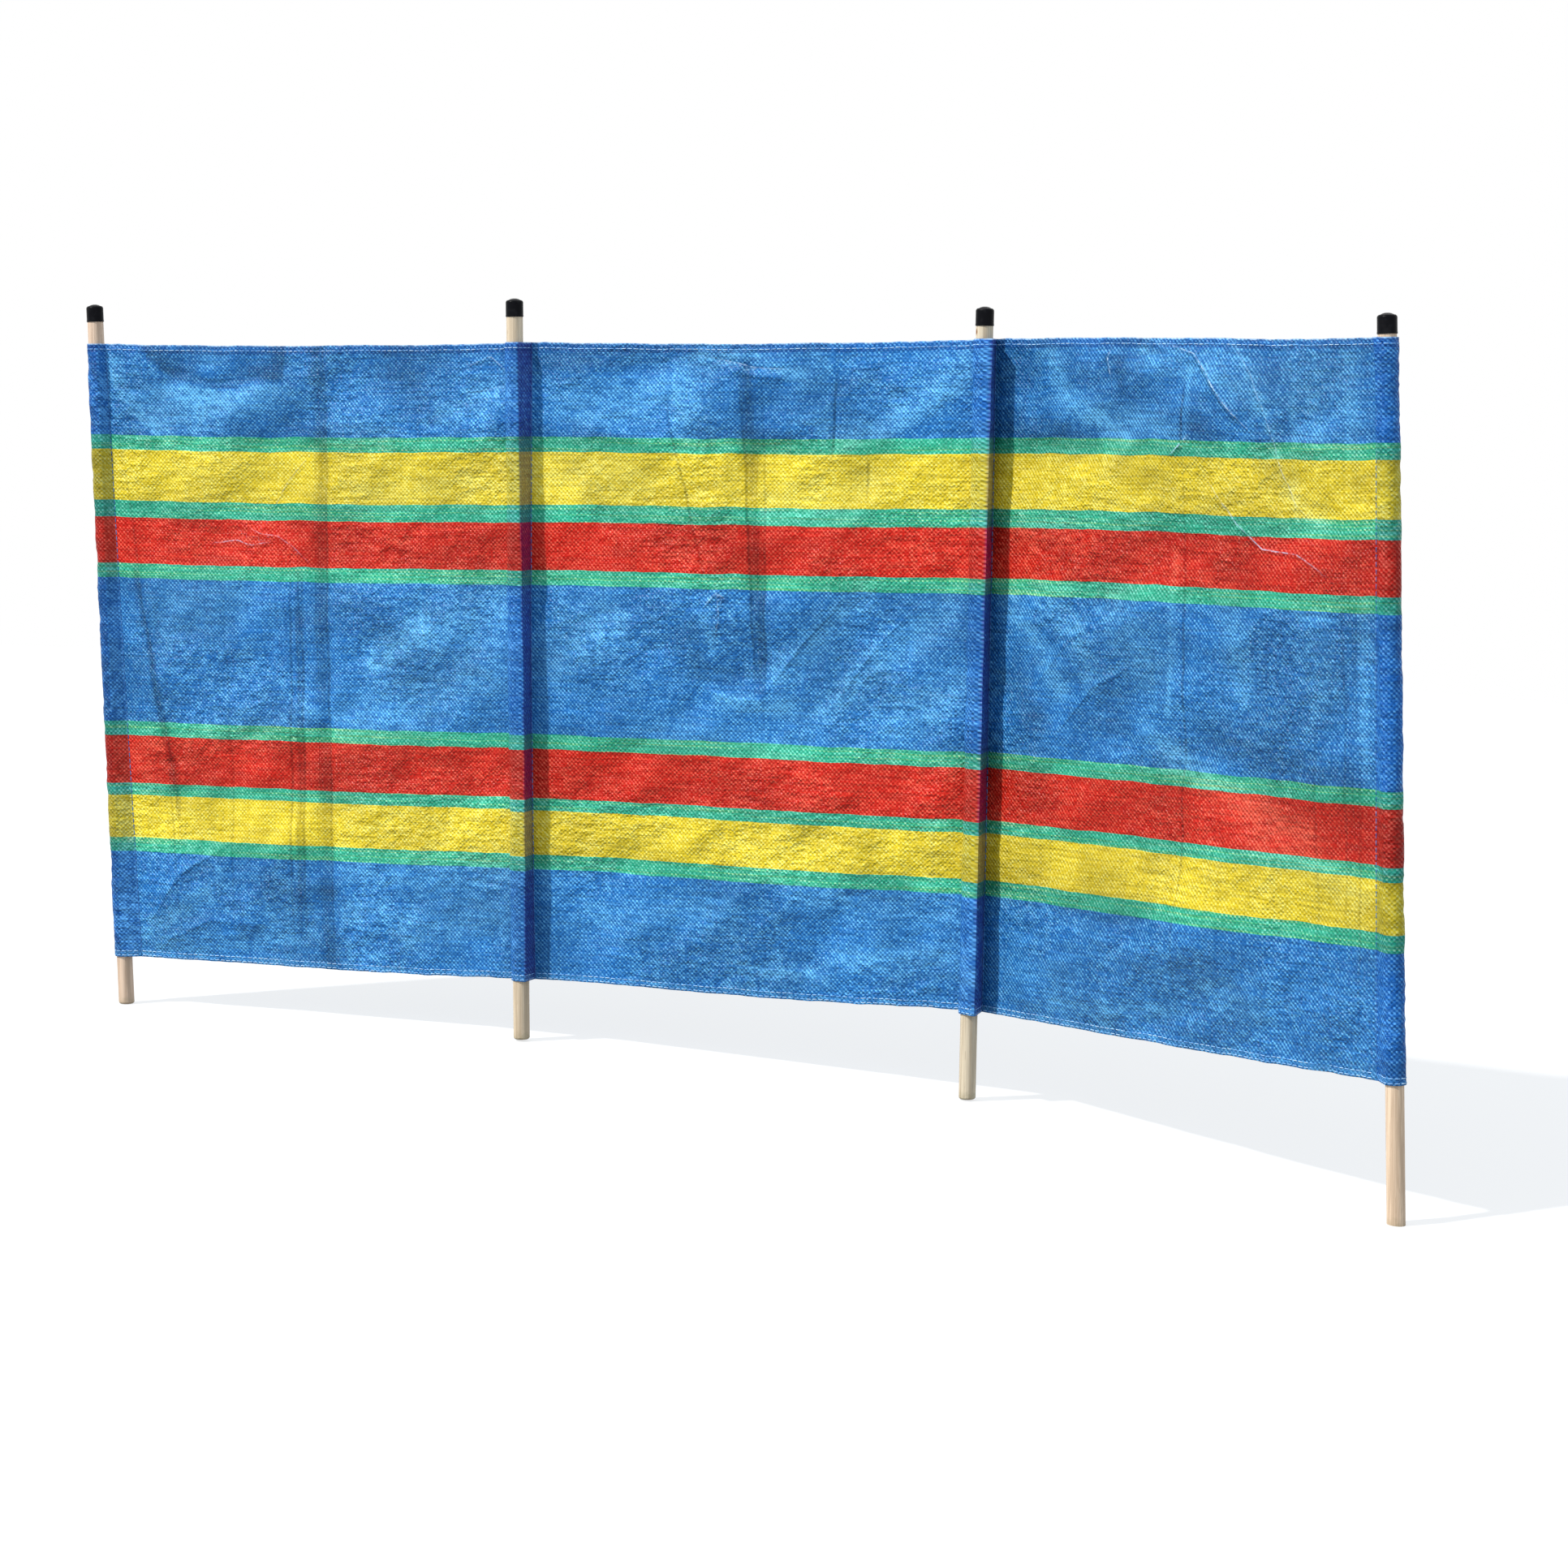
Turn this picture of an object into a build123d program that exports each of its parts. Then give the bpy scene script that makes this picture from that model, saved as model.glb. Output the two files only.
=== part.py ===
from build123d import *
import os
from math import acos, atan2, cos, hypot, radians, sin, tan

os.makedirs("parts", exist_ok=True)

# Beach windbreak: four planted poles carry three bays of striped cloth, in millimetres.
# +X runs along the middle bay, +Y points to the side away from the pocket loops, +Z is up.
# The origin is the centre of the right end pole's foot, at ground level.

bay_length = 820.0          # pole axis to pole axis, along each bay
left_bay_turn = 2.3         # degrees, the left bay swings back out of the middle bay's line
right_bay_turn = 24.8       # degrees, the right bay swings forward
cloth_height = 1100.0       # bottom edge to top edge
cloth_thickness = 1.0       # one layer, thicker than the real woven tape

pole_diameter = 28.0
foot_rounding = 4.0         # the worn edge round each foot

# each pole's lean in degrees (its head to the left), and how far its cap's crown
# stands above the cloth and its foot below it
pole_settings = {
    "left_end": {"lean": 1.7, "head": 67.0, "foot": 87.0},
    "left_middle": {"lean": 0.1, "head": 70.0, "foot": 95.0},
    "right_middle": {"lean": -1.0, "head": 50.0, "foot": 143.0},
    "right_end": {"lean": 2.0, "head": 29.0, "foot": 214.0},
}

cap_height = 28.0
cap_wall = 0.9
cap_crown = 3.0             # plastic over the pole's end
cap_fit = 0.2               # radial clearance on the pole
cap_shoulder = 5.0          # radius of the crown's rounded edge
shoulder_facets = 2         # the cones that make that round

pole_clearance = 0.4        # pole to the turned hem inside its pocket
seam_gap = 0.3              # between layers of cloth that lie on each other
end_seam = 24.0             # end pole's axis to the seam that closes its pocket
loop_seam = 20.0            # middle pole's axis to the seam that pinches its loop
bay_gap = 0.5               # between the edges of cloth that meet at a seam
flap_width = 9.0            # the end pocket's allowance, behind the bay
flap_end_gap = 2.0          # between that allowance and the hems above and below it
hem_height = 13.0           # the turned edge at the top and bottom
hem_lap = 3.0               # how far the turned layer reaches past the bay's edge

pole_radius = pole_diameter / 2
hem_radius = pole_radius + pole_clearance       # inside the turned hem of a pocket
pocket_inside = hem_radius + cloth_thickness
pocket_outside = pocket_inside + cloth_thickness
loop_setback = pocket_outside + seam_gap + cloth_thickness / 2   # bay behind its middle pole

cloth_bottom = pole_settings["right_end"]["foot"]
cloth_top = cloth_bottom + cloth_height
cloth_middle = cloth_bottom + cloth_height / 2

pole_names = list(pole_settings)
bay_names = ["left_bay", "middle_bay", "right_bay"]


def heading(angle):
    return Vector(cos(radians(angle)), sin(radians(angle)), 0)


def polar(radius, angle):
    return (radius * cos(angle), radius * sin(angle))


def backward(along):
    return Vector(-along.Y, along.X, 0)


bay_headings = [heading(-left_bay_turn), heading(0), heading(-right_bay_turn)]
lean_headings = [bay_headings[0], bay_headings[1], bay_headings[1], bay_headings[2]]


def pole_stations():
    """Where each pole's axis crosses the middle of the cloth, from right to left."""
    right_lean = tan(radians(pole_settings["right_end"]["lean"]))
    stations = [lean_headings[-1] * -(right_lean * cloth_middle)]
    for along in reversed(bay_headings):
        stations.insert(0, stations[0] - along * bay_length)
    return stations


stations = pole_stations()


def loop_seam_offset(reach):
    """From a middle pole's axis to its seam: along the row, and back past the loop."""
    return bay_headings[1] * reach + backward(bay_headings[1]) * loop_setback


# each pocket lies along the cloth that leaves it, so an end pocket points at the next seam
pocket_headings = [
    (stations[1] + loop_seam_offset(loop_seam) - stations[0]).normalized(),
    bay_headings[1],
    bay_headings[1],
    (stations[3] - stations[2] - loop_seam_offset(loop_seam)).normalized(),
]


def upward(index):
    """The direction of a pole's axis."""
    lean = radians(pole_settings[pole_names[index]]["lean"])
    return Vector(0, 0, cos(lean)) - lean_headings[index] * sin(lean)


def axis_point(index, level):
    """The point of a pole's axis at a height."""
    lean = tan(radians(pole_settings[pole_names[index]]["lean"]))
    point = stations[index] - lean_headings[index] * (lean * (level - cloth_middle))
    return Vector(point.X, point.Y, level)


def pole_plane(index, level, along):
    """A plane across a pole at a height: x along a heading, y backwards, z up the pole."""
    up = upward(index)
    return Plane(origin=axis_point(index, level), x_dir=along - up * along.dot(up), z_dir=up)


def foot_plane(index):
    return pole_plane(index, cloth_bottom - pole_settings[pole_names[index]]["foot"], lean_headings[index])


def pocket_plane(index):
    return pole_plane(index, cloth_bottom, pocket_headings[index])


def along_pole(index, height):
    return height / cos(radians(pole_settings[pole_names[index]]["lean"]))


def pole_length(index):
    """From the foot to the underside of the cap's crown."""
    setting = pole_settings[pole_names[index]]
    return along_pole(index, setting["foot"] + cloth_height + setting["head"]) - cap_crown


def pole(index):
    """A round pole, cut level where it meets the ground."""
    overlong = pole_diameter
    stick = Cylinder(pole_radius, pole_length(index) + overlong,
                     align=(Align.CENTER, Align.CENTER, Align.MIN))
    ground = foot_plane(index)
    stick = ground * Pos(0, 0, -overlong) * stick
    stick = split(stick, Plane(origin=ground.origin), keep=Keep.TOP)
    return fillet(stick.edges().sort_by(Axis.Z)[0], foot_rounding)


def cap(index):
    """A push-on cup turned about the pole: its crown rests on the pole's end, its skirt grips the top."""
    inside = pole_radius + cap_fit
    outside = inside + cap_wall
    mouth = cap_crown - cap_height
    shoulder = [(outside - cap_shoulder + x, cap_crown - cap_shoulder + y)
                for x, y in (polar(cap_shoulder, radians(90 * step / shoulder_facets))
                             for step in range(shoulder_facets + 1))]
    section = [(0, 0), (inside, 0), (inside, mouth), (outside, mouth), *shoulder, (0, cap_crown), (0, 0)]
    cup = revolve(Plane.XZ * make_face(Polyline(*section)), Axis.Z)
    return foot_plane(index) * Pos(0, 0, pole_length(index)) * cup


def tangent_angle(radius, point, side):
    """Where the line from a point touches a circle about the pole, in radians."""
    return atan2(point[1], point[0]) + side * acos(radius / hypot(*point))


def loop_outline(radius, back_angle, front_angle, tail):
    """A closed loop of cloth: round the pole between two tangents, and on to its tail."""
    back, front = polar(radius, back_angle), polar(radius, front_angle)
    outermost = polar(radius, (back_angle + front_angle) / 2 + radians(180))
    corners = [front] + tail + [back]
    return make_face([ThreePointArc(back, outermost, front)]
                     + [Line(a, b) for a, b in zip(corners, corners[1:])])


def loop_cavity(radius, back_angle, front_angle):
    """The hollow of a loop, whose two tangents meet in a point."""
    reach = radius / cos((back_angle - front_angle) / 2)
    return loop_outline(radius, back_angle, front_angle,
                        [polar(reach, (back_angle + front_angle) / 2)])


def pocket(index, tail_reach, tail_back):
    """A sewn pocket: one layer round the pole, two where its ends are hemmed."""
    height = along_pole(index, cloth_height)
    tail = [(tail_reach, tail_back - 2 * cloth_thickness), (tail_reach, tail_back)]
    front_angle = tangent_angle(pocket_outside, tail[0], -1)
    back_angle = tangent_angle(pocket_outside, tail[1], 1)
    tube = extrude(loop_outline(pocket_outside, back_angle, front_angle, tail), height)
    tube -= extrude(loop_cavity(hem_radius, back_angle, front_angle), height)
    bare = extrude(loop_cavity(pocket_inside, back_angle, front_angle), height - 2 * hem_height)
    return tube - Pos(0, 0, hem_height) * bare


def end_flap(index):
    """The seam allowance of an end pocket, lying behind its bay between the hems."""
    clear = hem_height + hem_lap + flap_end_gap
    height = along_pole(index, cloth_height) - 2 * clear
    low = (end_seam - cloth_thickness, cloth_thickness / 2 + seam_gap, clear)
    strip = Box(flap_width + cloth_thickness, cloth_thickness, height,
                align=(Align.MIN, Align.MIN, Align.MIN))
    return Pos(*low) * strip


def end_pocket(index):
    back = cloth_thickness * 1.5 + seam_gap
    shape = pocket(index, end_seam, back) + end_flap(index)
    if index > 0:
        shape = mirror(shape, about=Plane.YZ)
    return pocket_plane(index) * shape


def middle_pocket(index):
    return pocket_plane(index) * pocket(index, loop_seam, pocket_outside)


def seam_point(index, level, bay):
    """Where a bay's cloth starts or ends at a pole, on the middle of its thickness."""
    along = pocket_headings[index]
    starts = bay == index
    if index == 0:
        offset = along * (end_seam + bay_gap)
    elif index == len(pole_names) - 1:
        offset = along * -(end_seam + bay_gap)
    else:
        offset = loop_seam_offset(loop_seam + (bay_gap if starts else 0))
    return axis_point(index, level) + offset


def bay_section(bay, level):
    """A bay's thin outline at a height, from seam to seam."""
    start, end = seam_point(bay, level, bay), seam_point(bay + 1, level, bay)
    half = backward((end - start).normalized()) * (cloth_thickness / 2)
    return Wire.make_polygon([start - half, end - half, end + half, start + half], close=True)


def bay(index):
    """The cloth between two seams and two hems: flat but for the poles' leans."""
    low = bay_section(index, cloth_bottom + hem_height)
    high = bay_section(index, cloth_top - hem_height)
    return Solid.make_loft([low, high], ruled=True)


def hem(index, level, side):
    """The turned edge of a bay, over its edge (side 1 at the top) and on behind the cloth."""
    start, end = seam_point(index, level, index), seam_point(index + 1, level, index)
    run = (end - start).normalized()
    spare = hem_height
    section = Plane(origin=start - run * spare, x_dir=backward(run), z_dir=run)
    inner = seam_gap / 2
    outer = inner + cloth_thickness
    middle = cloth_thickness / 2 + inner
    fold = -outer * side
    front_end = -(hem_height - seam_gap) * side
    back_end = -(hem_height + hem_lap) * side
    edge = [
        Line((middle - outer, front_end), (middle - outer, fold)),
        ThreePointArc((middle - outer, fold), (middle, 0), (middle + outer, fold)),
        Line((middle + outer, fold), (middle + outer, back_end)),
        Line((middle + outer, back_end), (middle + inner, back_end)),
        Line((middle + inner, back_end), (middle + inner, fold)),
        ThreePointArc((middle + inner, fold), (middle, fold + inner * side), (middle - inner, fold)),
        Line((middle - inner, fold), (middle - inner, front_end)),
        Line((middle - inner, front_end), (middle - outer, front_end)),
    ]
    strip = extrude(section * make_face(edge), amount=(end - start).length + 2 * spare, dir=run)
    # both ends are cut along the leaning seams
    left_cut = Plane(origin=start, z_dir=backward(run).cross(upward(index)))
    right_cut = Plane(origin=end, z_dir=backward(run).cross(upward(index + 1)))
    return split(split(strip, left_cut, keep=Keep.TOP), right_cut, keep=Keep.BOTTOM)


parts = {}
for i, name in enumerate(pole_names):
    parts[name + "_pole"] = pole(i)
    parts[name + "_cap"] = cap(i)
    parts[name + "_pocket"] = end_pocket(i) if name.endswith("_end") else middle_pocket(i)
for i, name in enumerate(bay_names):
    parts[name] = bay(i)
    parts[name + "_top_hem"] = hem(i, cloth_top, 1)
    parts[name + "_bottom_hem"] = hem(i, cloth_bottom, -1)

for node, shape in parts.items():
    export_step(shape, f"parts/{node}.step")
    box = shape.bounding_box()
    print(f"{node:26s} {shape.volume / 1000:9.1f} cm3   z {box.min.Z:8.2f} to {box.max.Z:8.2f}")
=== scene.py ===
import bpy
from math import cos, pi, radians, sin
import numpy as np
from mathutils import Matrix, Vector, noise


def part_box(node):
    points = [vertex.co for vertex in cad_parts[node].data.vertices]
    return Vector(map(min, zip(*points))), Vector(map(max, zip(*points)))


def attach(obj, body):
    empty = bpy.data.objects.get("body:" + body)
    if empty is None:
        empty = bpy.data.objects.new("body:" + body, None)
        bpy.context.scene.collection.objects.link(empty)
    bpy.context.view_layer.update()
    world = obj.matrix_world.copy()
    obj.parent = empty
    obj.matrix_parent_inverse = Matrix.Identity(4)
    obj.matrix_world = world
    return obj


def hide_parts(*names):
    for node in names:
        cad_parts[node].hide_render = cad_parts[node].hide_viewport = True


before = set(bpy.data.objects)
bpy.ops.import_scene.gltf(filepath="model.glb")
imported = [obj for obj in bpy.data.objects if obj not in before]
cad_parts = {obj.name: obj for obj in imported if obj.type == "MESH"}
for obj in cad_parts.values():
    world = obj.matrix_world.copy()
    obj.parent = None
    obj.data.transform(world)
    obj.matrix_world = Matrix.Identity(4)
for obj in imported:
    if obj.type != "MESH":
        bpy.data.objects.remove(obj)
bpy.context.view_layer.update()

poleNames = ["left_end", "left_middle", "right_middle", "right_end"]
bayNames = ["left_bay", "middle_bay", "right_bay"]
farAway = 9.0       # metres; where nothing is near


def deselectAll():
    for obj in bpy.context.selected_objects:
        obj.select_set(False)


def pick(obj):
    deselectAll()
    obj.select_set(True)
    bpy.context.view_layer.objects.active = obj


def applyModifiers(obj):
    pick(obj)
    for modifier in list(obj.modifiers):
        bpy.ops.object.modifier_apply(modifier=modifier.name)


def addModifier(obj, kind, **values):
    modifier = obj.modifiers.new(kind.lower(), kind)
    for key, value in values.items():
        setattr(modifier, key, value)


def unit(vectors):
    return vectors / np.linalg.norm(vectors, axis=-1, keepdims=True)


def pathLength(path):
    return float(np.linalg.norm(np.diff(path, axis=0), axis=1).sum())


def smoothStep(values):
    values = np.clip(values, 0, 1)
    return values * values * (3 - 2 * values)


# one soft noise value for each point; it can be stretched along a direction, in degrees from level
def noiseField(x, z, size, stretch=1.0, turn=0.0, seed=0.0):
    angle = radians(turn)
    along = (x * cos(angle) + z * sin(angle)) / (size * stretch)
    over = (z * cos(angle) - x * sin(angle)) / size
    return np.array([noise.noise((a, b, seed)) for a, b in zip(along, over)])


# sharp crests with soft hollows between them, from 0 to 1
def ridgeField(x, z, size, stretch=1.0, turn=0.0, seed=0.0):
    sharpness = 2.4
    return 1 - np.clip(np.abs(noiseField(x, z, size, stretch, turn, seed)) * sharpness, 0, 1)


# a field with its height; a layer is its height, size, stretch, turn and own seed
def layerOf(field, x, z, layer, seed=0.0):
    height, size, stretch, turn, ownSeed = layer
    return height * field(x, z, size, stretch, turn, ownSeed + seed)


# the poles and the seams of the cloth are where the frame says
def nodePoints(node):
    return np.array([v.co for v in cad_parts[node].data.vertices])


def middleOf(points):
    return (points.min(0) + points.max(0)) / 2


# the middle of a pole at its foot and at its head
def poleAxis(name):
    end = 0.02      # how much of each end is read
    points = nodePoints(name + "_pole")
    low = middleOf(points[points[:, 2] < points[:, 2].min() + end])
    high = middleOf(points[points[:, 2] > points[:, 2].max() - end])
    return low, high


# the bottom and the top of a bay's left edge, where side is -1, or of its right edge, where it is 1
def bayEdge(node, side):
    sameLevel, sameEdge = 1e-4, 0.002
    points = nodePoints(node)
    ends = []
    for level in (points[:, 2].min(), points[:, 2].max()):
        row = points[np.abs(points[:, 2] - level) < sameLevel]
        edge = (row[:, 0] * side).max()
        ends.append(middleOf(row[row[:, 0] * side > edge - sameEdge]))
    return ends[0], ends[1]


# the points at heights z on the line through two ends
def atLevel(line, z):
    low, high = line
    share = (np.asarray(z) - low[2]) / (high[2] - low[2])
    return low + (high - low) * share[..., None]


poleAxes = [poleAxis(name) for name in poleNames]
bayEdges = {name: (bayEdge(name, -1), bayEdge(name, 1)) for name in bayNames}
bayLengths = [float(np.linalg.norm(right[0] - left[0])) for left, right in bayEdges.values()]
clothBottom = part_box("middle_bay_bottom_hem")[0].z
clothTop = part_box("middle_bay_top_hem")[1].z
clothHeight = clothTop - clothBottom

# how the sewn seams wander from straight lines: metres along the row, at the bottom, the middle and the top
seamWander = [
    (0.010, 0.000, -0.0078),
    (-0.003, -0.005, 0.002),
    (-0.006, -0.007, -0.009),
    (-0.006, 0.000, 0.0078),
]


# the seam between a pole's pocket and one of its two bays
def seamLine(pole, bay, z):
    left, right = bayEdges[bayNames[bay]]
    share = np.clip((np.asarray(z) - clothBottom) / clothHeight, 0, 1)
    shift = np.polyval(np.polyfit((0, 0.5, 1), seamWander[pole], 2), share)
    along = unit(right[0] - left[0])
    return atLevel(left if bay == pole else right, z) + along * shift[..., None]


print("frame read")


# cloth pieces: a grid is laid out, moved to its place and given its thickness
clothSettings = {
    "thickness": 0.0005,
    "spacing": 0.005,       # between the grid's lines
    "fold": 0.0007,         # radius of the turned edge
    "hem": 0.015,           # how far the turned edge reaches
    "hemRows": 5,
    "smoothAngle": 50,
}


# the rows of a sheet from one turned end to the other: height, and how far behind the front layer
def turnedRows(bottom, top):
    fold, reach = clothSettings["fold"], clothSettings["hem"]
    behind = [(drop, 2 * fold) for drop in np.linspace(reach, fold, clothSettings["hemRows"])]
    bend = [(fold - fold * sin(a), fold + fold * cos(a)) for a in np.radians([45, 90, 135])]
    front = np.linspace(bottom + fold, top - fold, round((top - bottom) / clothSettings["spacing"]))
    rows = [(bottom + drop, back) for drop, back in behind + bend]
    rows += [(z, 0.0) for z in front]
    rows += [(top - drop, back) for drop, back in reversed(behind + bend)]
    return np.array(rows)


# a grid of cloth; place gives each point, its place on the flat cloth and what its material reads there
def clothGrid(name, columns, rows, place):
    deselectAll()
    bpy.ops.mesh.primitive_grid_add(x_subdivisions=columns, y_subdivisions=rows, size=1)
    sheet = bpy.context.object
    sheet.name = name
    mesh = sheet.data
    flat = np.array([v.co for v in mesh.vertices])
    column = np.rint((flat[:, 0] + 0.5) * columns).astype(int)
    row = np.rint((flat[:, 1] + 0.5) * rows).astype(int)
    points, plan, looks = place(column, row)
    mesh.vertices.foreach_set("co", points.ravel())
    for label, values in looks.items():
        mesh.attributes.new(label, "FLOAT", "POINT").data.foreach_set("value", values)
    mesh.uv_layers[0].name = "clothPlan"
    corners = np.array([loop.vertex_index for loop in mesh.loops])
    mesh.uv_layers[0].data.foreach_set("uv", plan[corners].ravel())
    mesh.update()
    return sheet


def finishCloth(sheet):
    addModifier(sheet, "SOLIDIFY", thickness=clothSettings["thickness"], offset=0)
    applyModifiers(sheet)
    bpy.ops.object.shade_smooth_by_angle(angle=radians(clothSettings["smoothAngle"]))
    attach(sheet, "root")


drapeSettings = {
    "levels": (0, 0.27, 0.72, 1),   # the top edge, the upper and lower stripes and the bottom edge
    "waves": [(1.0, 0.07, 1.0, 0, 41.0), (0.5, 0.022, 1.0, 0, 43.0)],
    "waveHeight": 1.6,              # millimetres
    "waveFall": 0.3,                # what a metre down counts, for a whole bay across
}

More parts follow.
